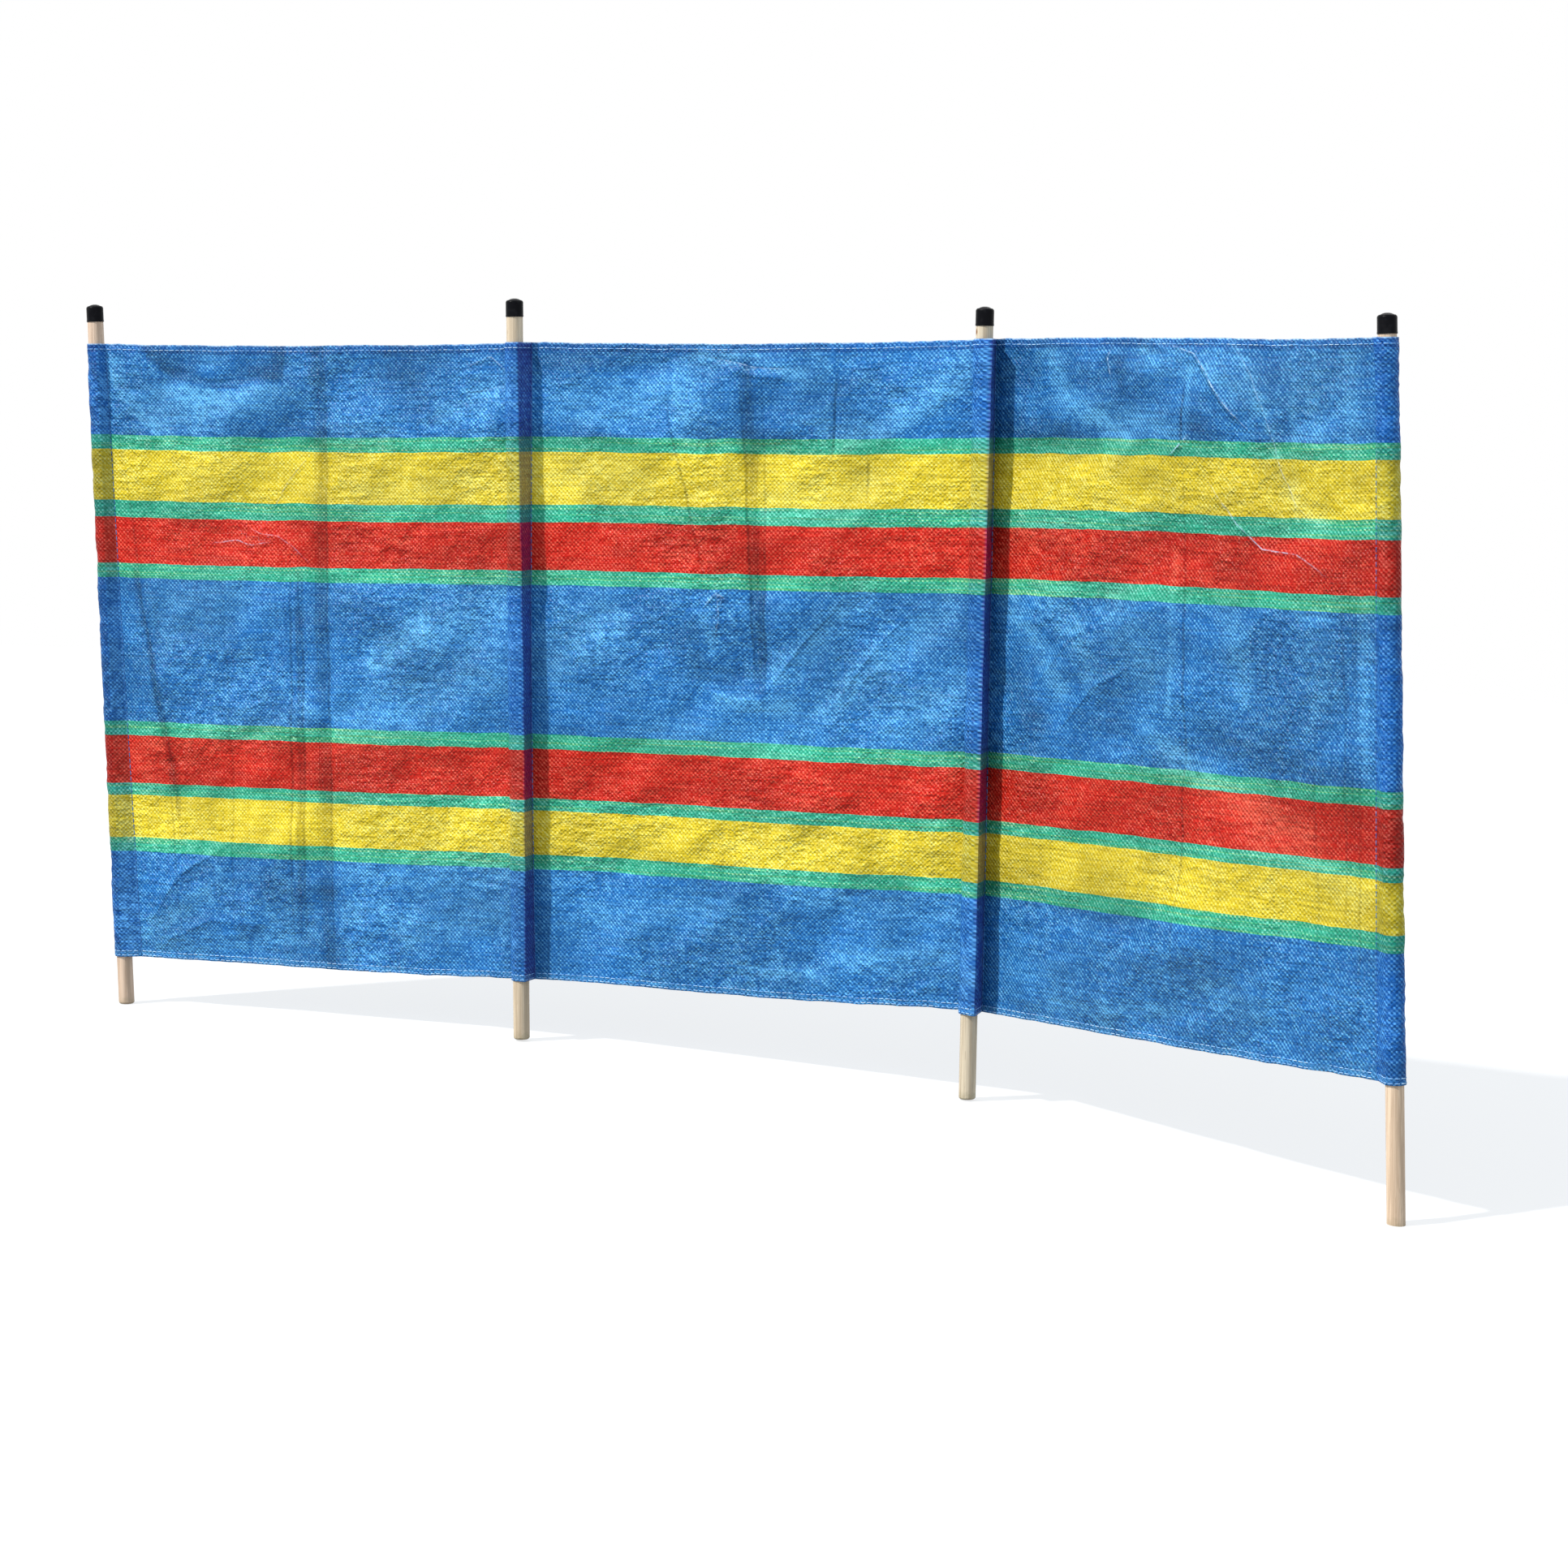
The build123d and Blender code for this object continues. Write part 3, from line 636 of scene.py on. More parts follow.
def makePocket(pole):
    name = poleNames[pole] + "_pocket"
    rows = turnedRows(clothBottom, clothTop)
    columns = pocketSettings["columns"]
    start = sum(bayLengths[:pole])
    way = pocketSeam(pole)[1]

    def place(column, row):
        z = rows[row, 0]
        points, gone, flank = pocketPoints(pole, column / columns, z, rows[row, 1])
        paintedLight = pocketPaintedLight(pole, gone, z, flank)
        looks = {"creaseFar": np.full(len(z), farAway), "paintedLight": paintedLight, "flank": flank * (pole > 0)}
        return points, np.stack([1 + start - gone * way, z - clothBottom], 1), looks

    share = np.linspace(0, 1, columns + 1)
    outline = pocketPoints(pole, share, np.full(columns + 1, clothBottom + clothHeight / 2), 0.0)[0]
    sheet = clothGrid(name + "_cloth", columns, len(rows) - 1, place)
    if way > 0:     # its outline runs from right to left past the front
        pick(sheet)
        bpy.ops.object.mode_set(mode="EDIT")
        bpy.ops.mesh.select_all(action="SELECT")
        bpy.ops.mesh.flip_normals()
        bpy.ops.object.mode_set(mode="OBJECT")
    finishCloth(sheet)
    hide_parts(name)
    return sheet


clothPieces = [makeBay(bay) for bay in range(len(bayNames))]
pocketPieces = [makePocket(pole) for pole in range(len(poleNames))]
print("cloth made")


# rows of stitches: one stitch is modelled, repeated along a straight line and bent onto the cloth
stitchSettings = {
    "thread": 0.0006,       # radius
    "length": 0.0080,
    "pitch": 0.0108,
    "rounding": 0.6,        # of a stitch's ends, as a share of the radius
    "proud": 0.0006,        # from the middle of the cloth to the middle of the thread
    "fromTop": 0.0092,
    "fromBottom": (0.0030, 0.0105),
    "fromSeam": 0.0025,
    "follow": 0.006,        # between the points by which a row follows its cloth
    "ends": 0.004,          # a bay's rows stop this share of it short, and a seam's this many metres
    "pocket": (0.03, 0.97, 40),     # from where to where round a pocket, and by how many points
}


def stitchRow(path):
    setting = stitchSettings
    deselectAll()
    line = bpy.data.curves.new("stitch_path", "CURVE")
    line.dimensions = "3D"
    spline = line.splines.new("POLY")
    spline.points.add(len(path) - 1)
    spline.points.foreach_set("co", np.hstack([path, np.ones((len(path), 1))]).ravel())
    guide = bpy.data.objects.new("stitch_path", line)
    bpy.context.scene.collection.objects.link(guide)
    bpy.ops.mesh.primitive_cylinder_add(vertices=6, radius=setting["thread"], depth=setting["length"],
                                        rotation=(0, pi / 2, 0), location=(setting["pitch"] / 2, 0, 0))
    row = bpy.context.object
    bpy.ops.object.transform_apply(location=True, rotation=True)
    addModifier(row, "BEVEL", width=setting["thread"] * setting["rounding"], segments=1,
                limit_method="ANGLE", angle_limit=radians(80))
    addModifier(row, "ARRAY", count=int(pathLength(path) / setting["pitch"]), use_relative_offset=False,
                use_constant_offset=True, constant_offset_displace=(setting["pitch"], 0, 0))
    addModifier(row, "CURVE", object=guide, deform_axis="POS_X")
    applyModifiers(row)
    bpy.data.objects.remove(guide)
    return row


def joinStitches(name, paths):
    rows = [stitchRow(path) for path in paths]
    deselectAll()
    for row in rows:
        row.select_set(True)
    bpy.context.view_layer.objects.active = rows[0]
    if len(rows) > 1:
        bpy.ops.object.join()
    stitches = rows[0]
    stitches.name = name
    stitches.data.name = name
    bpy.ops.object.shade_smooth()
    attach(stitches, "root")
    return stitches


# the level rows of a bay or a pocket, one near the top and two near the bottom
def levelRows(name, points, owner, shares):
    levels = [clothTop - stitchSettings["fromTop"]]
    levels += [clothBottom + up for up in stitchSettings["fromBottom"]]
    proud = -stitchSettings["proud"]
    paths = [points(owner, shares, np.full(len(shares), level), proud)[0] for level in levels]
    return joinStitches(name + "_stitches", paths)


def bayStitches(bay):
    ends = stitchSettings["ends"]
    across = np.linspace(ends, 1 - ends, round(bayLengths[bay] / stitchSettings["follow"]))
    return levelRows(bayNames[bay], bayPoint, bay, across)


def pocketStitches(pole):
    shares = np.linspace(*stitchSettings["pocket"])
    return levelRows(poleNames[pole] + "_pocket", pocketPoints, pole, shares)


# the upright row beside a pocket; side is 0 for the left edge of the bay and 1 for its right edge
def seamStitches(bay, side):
    setting = stitchSettings
    z = np.linspace(clothBottom + setting["ends"], clothTop - setting["ends"],
                    round(clothHeight / setting["follow"]))
    beside = setting["fromSeam"] / bayLengths[bay]
    place = np.full(len(z), beside if side == 0 else 1 - beside)
    path = bayPoint(bay, place, z, -setting["proud"])[0]
    return joinStitches(bayNames[bay] + ("_right" if side else "_left") + "_seam", [path])


bayThreads = [bayStitches(bay) for bay in range(len(bayNames))]
seamThreads = [(seamStitches(bay, 0), seamStitches(bay, 1)) for bay in range(len(bayNames))]
pocketThreads = [pocketStitches(pole) for pole in range(len(poleNames))]
print("stitches made")


# each cap is a thin soft moulding over the end of its pole, rounded at the top, with a bead at its mouth
capSettings = {
    "sides": 48,
    "wall": 0.0009,
    "shoulder": 0.0044,     # radius of the rounded top edge
    "shoulderSteps": 6,
    "crown": 0.0026,        # how far the top bulges
    "crownRings": (0.7, 0.3),       # each ring's share of that, from the outside in
    "ringWidth": 0.25,      # of the radius
    "bead": (0.0026, 1.016),    # its height, and how much wider than the cap it is
    "beadTop": 1.3,         # where it has tapered away, in its own heights
    "smoothAngle": 40,
}


# selects the faces of the mesh in edit mode that pass the test
def pickFaces(obj, test):
    bpy.ops.mesh.select_all(action="DESELECT")
    bpy.ops.object.mode_set(mode="OBJECT")
    for face in obj.data.polygons:
        face.select = bool(test(face))
    bpy.ops.object.mode_set(mode="EDIT")


def makeCap(pole):
    setting, node = capSettings, poleNames[pole] + "_cap"
    low, high = (Vector(end) for end in poleAxes[pole])
    upward = (high - low).normalized()
    points = [Vector(point) - low for point in nodePoints(node)]
    heights = [point.dot(upward) for point in points]
    radius = max((point - upward * height).length for point, height in zip(points, heights))
    mouth, tall = min(heights), max(heights) - min(heights)
    beadHeight, wider = setting["bead"]
    radius /= wider
    deselectAll()
    bpy.ops.mesh.primitive_cylinder_add(vertices=setting["sides"], radius=radius, depth=tall,
                                        location=(0, 0, tall / 2))
    cap = bpy.context.object
    cap.name = node + "_moulding"
    bpy.ops.object.transform_apply(location=True)
    bpy.ops.object.mode_set(mode="EDIT")
    bpy.ops.mesh.select_mode(type="FACE")
    pickFaces(cap, lambda face: face.normal.z > 0.9)        # the top
    bpy.ops.mesh.bevel(offset=setting["shoulder"], segments=setting["shoulderSteps"], affect="EDGES")
    pickFaces(cap, lambda face: face.normal.z > 0.999 and face.area > 0.0001)   # its flat middle
    for rise in setting["crownRings"]:
        bpy.ops.mesh.inset(thickness=radius * setting["ringWidth"])
        bpy.ops.transform.translate(value=(0, 0, setting["crown"] * rise))
    for level in (beadHeight, beadHeight * setting["beadTop"]):
        bpy.ops.mesh.select_all(action="SELECT")
        bpy.ops.mesh.bisect(plane_co=(0, 0, level), plane_no=(0, 0, 1))
    pickFaces(cap, lambda face: face.normal.z < -0.9)       # the mouth
    bpy.ops.mesh.delete(type="ONLY_FACE")
    pickFaces(cap, lambda face: face.center.z < beadHeight)     # the bead
    bpy.ops.transform.resize(value=(wider, wider, 1), center_override=(0, 0, 0))
    bpy.ops.object.mode_set(mode="OBJECT")
    addModifier(cap, "SOLIDIFY", thickness=setting["wall"], offset=-1)
    applyModifiers(cap)
    cap.rotation_mode = "QUATERNION"
    cap.rotation_quaternion = upward.to_track_quat("Z", "Y")
    cap.location = low + upward * mouth
    bpy.ops.object.transform_apply(location=True, rotation=True)
    bpy.ops.object.shade_smooth_by_angle(angle=radians(setting["smoothAngle"]))
    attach(cap, "root")
    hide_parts(node)
    return cap


capPieces = [makeCap(pole) for pole in range(len(poleNames))]
print("caps made")


# materials
def newMaterial(name):
    material = bpy.data.materials.new(name)
    material.use_nodes = True
    return material, material.node_tree, material.node_tree.nodes["Principled BSDF"]


def giveMaterial(pieces, material):
    for piece in pieces:
        piece.data.materials.clear()
        piece.data.materials.append(material)


def addNode(tree, kind, **values):
    node = tree.nodes.new(kind)
    for key, value in values.items():
        setattr(node, key, value)
    return node


# a plain value is set on its socket, and anything else is linked to it
def feed(tree, socket, value):
    if isinstance(value, (int, float, tuple)):
        socket.default_value = value
    else:
        tree.links.new(value, socket)


def mathNode(tree, operation, *values, clamp=False):
    node = addNode(tree, "ShaderNodeMath", operation=operation, use_clamp=clamp)
    for socket, value in zip(node.inputs, values):
        feed(tree, socket, value)
    return node.outputs[0]


def times(tree, first, second, clamp=False):
    return mathNode(tree, "MULTIPLY", first, second, clamp=clamp)


def plus(tree, first, second, clamp=False):
    return mathNode(tree, "ADD", first, second, clamp=clamp)


# two values added, each with its weight
def blend(tree, first, second, weights):
    return plus(tree, times(tree, first, weights[0]), times(tree, second, weights[1]))


def newGroup(name, inputs, outputs):
    group = bpy.data.node_groups.new(name, "ShaderNodeTree")
    for label, kind, value in inputs:
        socket = group.interface.new_socket(label, in_out="INPUT", socket_type=kind)
        if value is not None:
            socket.default_value = value
    for label, kind in outputs:
        group.interface.new_socket(label, in_out="OUTPUT", socket_type=kind)
    start, end = group.nodes.new("NodeGroupInput"), group.nodes.new("NodeGroupOutput")
    return group, start.outputs, end.inputs


def useGroup(tree, group, **values):
    node = addNode(tree, "ShaderNodeGroup", node_tree=group)
    for label, value in values.items():
        feed(tree, node.inputs[label.replace("_", " ")], value)
    return node.outputs


def splitAxes(tree, vector):
    node = addNode(tree, "ShaderNodeSeparateXYZ")
    tree.links.new(vector, node.inputs[0])
    return node.outputs


def splitColour(tree, colour):
    node = addNode(tree, "ShaderNodeSeparateColor")
    tree.links.new(colour, node.inputs[0])
    return node.outputs


def mapped(tree, vector, **values):
    mapping = addNode(tree, "ShaderNodeMapping")
    for label, value in values.items():
        mapping.inputs[label].default_value = value
    tree.links.new(vector, mapping.inputs["Vector"])
    return mapping.outputs[0]


def stretched(tree, vector, stretch, turn=0.0):
    return mapped(tree, vector, Scale=stretch, Rotation=(0, 0, radians(turn)))


def noiseNode(tree, vector, scale, detail=2.0, distortion=0.0, stretch=None, turn=0.0, rough=0.5):
    if stretch is not None:
        vector = stretched(tree, vector, stretch, turn)
    node = addNode(tree, "ShaderNodeTexNoise", noise_dimensions="3D", normalize=True)
    tree.links.new(vector, node.inputs["Vector"])
    numbers = {"Scale": scale, "Detail": detail, "Roughness": rough, "Distortion": distortion}
    for label, number in numbers.items():
        node.inputs[label].default_value = number
    return node.outputs[0]


# cells like the facets of a crumpled sheet: how far a point lies from its cell's middle, and a chance
# value for each cell
def facetNodes(tree, vector, stretch, turn=0.0, detail=0.0):
    node = addNode(tree, "ShaderNodeTexVoronoi", voronoi_dimensions="2D", feature="F1")
    tree.links.new(stretched(tree, vector, stretch, turn), node.inputs["Vector"])
    node.inputs["Scale"].default_value = 1.0
    node.inputs["Detail"].default_value = detail
    return node.outputs["Distance"], splitColour(tree, node.outputs["Color"])[0]


def rangeNode(tree, value, low, high, outLow=0.0, outHigh=1.0):
    node = addNode(tree, "ShaderNodeMapRange", interpolation_type="SMOOTHSTEP")
    tree.links.new(value, node.inputs["Value"])
    numbers = {"From Min": low, "From Max": high, "To Min": outLow, "To Max": outHigh}
    for label, number in numbers.items():
        node.inputs[label].default_value = number
    return node.outputs[0]


def mixColour(tree, factor, first, second, mode="MIX"):
    node = addNode(tree, "ShaderNodeMix", data_type="RGBA", blend_type=mode)
    for socket, value in ((node.inputs[0], factor), (node.inputs[6], first), (node.inputs[7], second)):
        feed(tree, socket, value)
    return node.outputs[2]


def tinted(tree, colour, tint):
    return mixColour(tree, 1.0, colour, tint, mode="MULTIPLY")


# a colour made lighter or darker by a value
def shaded(tree, colour, value):
    grey = addNode(tree, "ShaderNodeCombineColor")
    for socket in grey.inputs:
        tree.links.new(value, socket)
    return tinted(tree, colour, grey.outputs[0])


def addBump(tree, shader, height, distance):
    bump = addNode(tree, "ShaderNodeBump")
    bump.inputs["Distance"].default_value = distance
    tree.links.new(height, bump.inputs["Height"])
    tree.links.new(bump.outputs[0], shader.inputs["Normal"])


# flat tapes woven one over the other: the crossings give a bump and slanting rows of painted light, no two
# quite alike
weaveSettings = {
    "tapeWidth": 0.0038,
    "slants": (0.62, 0.34),             # how strong the falling and the rising rows are
    "looseness": (0.3, 0.7, 0.5, 1.4),  # from the tightest places to the loosest
    "streaks": (0.75, 0.25),            # shares of the level and the upright streaks
    "streakRise": 1.6,
}


def makeTapeWeave():
    setting = weaveSettings
    group, given, put = newGroup(
        "tapeWeave",
        [("Plan", "NodeSocketVector", None), ("Tape width", "NodeSocketFloat", setting["tapeWidth"])],
        [("Height", "NodeSocketFloat"), ("Crossing", "NodeSocketFloat"), ("Streak", "NodeSocketFloat"),
         ("Chance", "NodeSocketFloat")])
    plan, width = given["Plan"], given["Tape width"]
    along, up = (mathNode(group, "DIVIDE", axis, width) for axis in splitAxes(group, plan)[:2])
    falling = mathNode(group, "COSINE", times(group, plus(group, along, up), pi))
    rising = mathNode(group, "COSINE", times(group, mathNode(group, "SUBTRACT", along, up), pi))
    loose = rangeNode(group, noiseNode(group, plan, 90.0, 1.0), *setting["looseness"])
    weave = times(group, blend(group, falling, rising, setting["slants"]), loose)
    rows = noiseNode(group, plan, 1.0, 1.5, stretch=(12.0, 240.0, 1.0))
    columns = noiseNode(group, plan, 1.0, 1.0, stretch=(240.0, 6.0, 1.0))
    streak = blend(group, rows, columns, setting["streaks"])
    rise = times(group, mathNode(group, "SUBTRACT", streak, 0.5), setting["streakRise"])
    cell = addNode(group, "ShaderNodeCombineXYZ")
    for value, socket in zip((along, up), cell.inputs):
        group.links.new(mathNode(group, "FLOOR", plus(group, value, 0.5)), socket)
    chance = addNode(group, "ShaderNodeTexWhiteNoise", noise_dimensions="2D")
    group.links.new(cell.outputs[0], chance.inputs["Vector"])
    group.links.new(plus(group, weave, rise), put["Height"])
    group.links.new(rangeNode(group, weave, -0.7, 0.9), put["Crossing"])
    group.links.new(streak, put["Streak"])
    group.links.new(chance.outputs["Value"], put["Chance"])
    return group


# the ripples and small crisp facets of stiff coated cloth, in some places more than in others; the facets
# also choose where painted glints and sheen fall
crumpleSettings = {
    "places": (0.36, 0.66),     # from calm to crumpled
    "everywhere": 0.13,         # how crisp the calm places are, and how much more the crumpled ones
    "crumpled": 0.80,
    "soft": (0.46, 0.16),       # heights of the wide waves and the level ripples
    "crisp": (0.54, 0.26),      # heights of the broad and the small facets
    "chances": (0.30, 0.70),    # their shares in how light a facet's painted glint and sheen are
    "glossy": (0.64, 0.84),     # which facets get a painted glint
}


def makeCrumple():
    setting = crumpleSettings
    group, given, put = newGroup(
        "crumple",
        [("Plan", "NodeSocketVector", None)],
        [("Height", "NodeSocketFloat"), ("Facet", "NodeSocketFloat"), ("Place", "NodeSocketFloat"),
         ("Dab", "NodeSocketFloat")])
    plan = given["Plan"]
    place = rangeNode(group, noiseNode(group, plan, 5.5, 2.0, 0.6), *setting["places"])
    wide = noiseNode(group, plan, 24.0, 4.0, 0.3, stretch=(1.0, 1.9, 1.0), turn=38, rough=0.55)
    ripple = noiseNode(group, plan, 1.0, 2.0, 0.4, stretch=(60.0, 190.0, 1.0), turn=6)
    broadRise, broadChance = facetNodes(group, plan, (34.0, 60.0, 1.0), 36, 1.0)
    smallRise, smallChance = facetNodes(group, plan, (110.0, 210.0, 1.0), 40)
    amount = plus(group, times(group, place, setting["crumpled"]), setting["everywhere"])
    soft = blend(group, wide, ripple, setting["soft"])
    crisp = blend(group, broadRise, smallRise, setting["crisp"])
    facet = blend(group, broadChance, smallChance, setting["chances"])
    group.links.new(plus(group, soft, times(group, crisp, amount)), put["Height"])
    group.links.new(facet, put["Facet"])
    group.links.new(place, put["Place"])
    group.links.new(times(group, rangeNode(group, facet, *setting["glossy"]), amount), put["Dab"])
    return group


tapeWeave = makeTapeWeave()
crumple = makeCrumple()

# each colour in the gaps of the weave, and the pale one that is painted where it would catch the light
stripeColours = {
    "blue": ((0.001, 0.098, 0.358, 1), (0.150, 0.515, 0.880, 1)),
    "green": ((0.008, 0.325, 0.187, 1), (0.200, 0.735, 0.545, 1)),
    "yellow": ((0.690, 0.505, 0.006, 1), (0.945, 0.850, 0.180, 1)),
    "red": ((0.490, 0.003, 0.000, 1), (0.920, 0.135, 0.075, 1)),
}
# each stripe from the bottom edge up, with where it starts as a share of the height
stripes = [
    ("blue", 0.0), ("green", 0.172), ("yellow", 0.199), ("green", 0.269), ("red", 0.288),
    ("green", 0.366), ("blue", 0.390), ("green", 0.625), ("red", 0.647), ("green", 0.7225),
    ("yellow", 0.748), ("green", 0.8285), ("blue", 0.8535),
]

clothFinish = {
    "weaveRise": 0.00060,       # metres
    "crumpleRise": 0.0050,
    "plain": 0.01,              # how much painted light the gaps of the weave get, from the deep colour to the pale one
    "crossing": 0.46,           # how much painted glint a crossing adds
    "chances": (0.3, 1.7),      # how unlike the crossings' painted glints are
    "paintedLight": (0.26, 0.42),      # how much painted sheen adds, all over and at the crossings
    "patches": (0.40, 1.40),    # from the dullest facet to the brightest, for the painted sheen and the hem band
    "dab": 0.50,                # how much a small painted glint adds
    "paintedShade": 0.42,               # how much darker the painted shade makes the cloth where its painted light is below zero
    "streaks": (0.80, 1.19),    # from the darkest tape to the lightest
    "haze": (0.84, 1.14),       # and from the darkest place to the lightest
    "oddThread": (2.60, 1.10, 0.72, 1),     # single tapes in the green that are yellower
    "oddShare": 0.8,
    "worn": (0.0006, 0.0003, 0.0016),       # a pale line beside its crease, worn white and painted highlight: how far off, where it is whole and where it ends, in metres; and its painted shade line
    "shade": (-0.0026, 0.0010, 0.0036),     # whole and where it ends, in metres; and its dark side
    "shadeDepth": 0.5,
    "wornColour": (0.50, 0.70, 0.90, 1),
    "foldRise": (0.0060, 0.22),             # how far a crease's own bump reaches, and its share
    "flankShadeColour": (0.075, 0.020, 0.240, 1),    # painted shade on the side of a pocket that is turned away from the sun
    "flankShadeShare": 0.33,
    "edgeBands": [(0.0020, 0.0086, (0.70, 0.76, 0.88, 1)),      # the doubled top edge in painted shade, as less light comes through, from and to in metres, and a painted shadow in the step below its stitches
                  (0.0102, 0.0150, (0.55, 0.62, 0.74, 1))],     # metres, and the step below its stitches
    "bandSoftness": 0.0008,
    "rim": (0.0022, 0.0012, 0.55),          # where the paler line along the top edge starts and is whole, and its share
    "hemBand": (0.012, 0.001, 0.12),        # the paler bottom hem: its height, softness and share
}


# the stripes in their deep colours, or with shade 1 in their pale ones
def stripeColour(tree, up, shade):
    ramp = addNode(tree, "ShaderNodeValToRGB")
    ramp.color_ramp.interpolation = "CONSTANT"
    points = ramp.color_ramp.elements
    while len(points) < len(stripes):
        points.new(0.5)
    for point, (colour, start) in zip(points, stripes):
        point.position = start
    for point, (colour, start) in zip(points, stripes):     # once the points lie in their final order
        point.color = stripeColours[colour][shade]
    tree.links.new(mathNode(tree, "DIVIDE", up, clothHeight), ramp.inputs[0])
    return ramp.outputs[0]


# painted glints and sheen: how light the cloth's colour is painted, from its deep colour to its pale one
def paintedTapeLight(tree, weave, dents, paintedLight, patchy):
    finish, crossing = clothFinish, weave["Crossing"]
    chance = rangeNode(tree, weave["Chance"], 0.0, 1.0, *finish["chances"])
    light = times(tree, crossing, times(tree, chance, finish["crossing"]))
    light = plus(tree, light, finish["plain"])
    bright = times(tree, mathNode(tree, "MAXIMUM", paintedLight, 0.0), patchy)
    overall, atCrossing = finish["paintedLight"]
    lift = plus(tree, times(tree, crossing, atCrossing), overall)
    light = plus(tree, light, times(tree, bright, lift))
    dab = times(tree, dents["Dab"], rangeNode(tree, crossing, 0.2, 0.9, 0.3, 1.2))
    return plus(tree, light, times(tree, dab, finish["dab"]), clamp=True)


# tapes differ a little, and so does the cloth from place to place; painted shade darkens it where its
# painted light is below zero, and the tint paints shade on some pieces
def tapeShades(tree, plan, weave, paintedLight, colour, tint):
    haze = noiseNode(tree, plan, 5.0, 2.0, 0.3, stretch=(1.0, 1.7, 1.0), turn=35)
    level = times(tree, rangeNode(tree, weave["Streak"], 0.32, 0.68, *clothFinish["streaks"]),
                  rangeNode(tree, haze, 0.34, 0.66, *clothFinish["haze"]))
    paintedShade = times(tree, mathNode(tree, "MINIMUM", paintedLight, 0.0), clothFinish["paintedShade"])
    level = times(tree, level, plus(tree, paintedShade, 1.0))
    return tinted(tree, shaded(tree, colour, level), tint)


# single yellower tapes, in the green stripes only
def oddTapes(tree, plan, deep, colour):
    red, green, blue = splitColour(tree, deep)
    greener = mathNode(tree, "SUBTRACT", green, mathNode(tree, "MAXIMUM", red, blue))
    tapes = noiseNode(tree, plan, 1.0, 1.0, stretch=(2.5, 330.0, 1.0))
    tapes = rangeNode(tree, tapes, 0.52, 0.64, 0.0, clothFinish["oddShare"])
    tapes = times(tree, tapes, rangeNode(tree, greener, 0.05, 0.10))
    return mixColour(tree, tapes, colour, tinted(tree, colour, clothFinish["oddThread"]))


# a line along a crease, beside it by so much
def creaseLine(tree, far, line):
    beside, whole, end = line
    return rangeNode(tree, mathNode(tree, "ABSOLUTE", plus(tree, far, -beside)), end, whole)


# a crease is a thin pale line, partly worn white and partly painted highlight, with a painted shade line
# beside it
def creaseMarks(tree, far, pale, lineBreakup, colour):
    finish = clothFinish
    line = times(tree, creaseLine(tree, far, finish["worn"]), lineBreakup)
    shade = times(tree, creaseLine(tree, far, finish["shade"]), plus(tree, times(tree, lineBreakup, 0.6), 0.4))
    marked = times(tree, mathNode(tree, "ABSOLUTE", pale), shade)
    dark = mathNode(tree, "SUBTRACT", 1.0, times(tree, marked, finish["shadeDepth"]))
    colour = shaded(tree, colour, dark)
    worn = times(tree, line, mathNode(tree, "MAXIMUM", pale, 0.0), clamp=True)
    return mixColour(tree, worn, colour, finish["wornColour"])


# painted shade on the doubled top edge and a painted shadow below its stitches, a paler line along its rim,
# and the bottom hem
def edgeMarks(tree, up, lineBreakup, patchy, colour):
    finish = clothFinish
    edge = mathNode(tree, "SUBTRACT", clothHeight, up)
    soft = finish["bandSoftness"]
    for start, end, shade in finish["edgeBands"]:
        inside = times(tree, rangeNode(tree, edge, start - soft, start + soft),
                       rangeNode(tree, edge, end + soft, end - soft))
        colour = mixColour(tree, inside, colour, tinted(tree, colour, shade))
    start, whole, share = finish["rim"]
    rim = times(tree, rangeNode(tree, edge, start, whole), times(tree, lineBreakup, share))
    colour = mixColour(tree, rim, colour, finish["wornColour"])
    height, soft, share = finish["hemBand"]
    hem = times(tree, rangeNode(tree, up, height, height - soft, 0.0, share), patchy)
    return mixColour(tree, hem, colour, stripeColours["blue"][1])


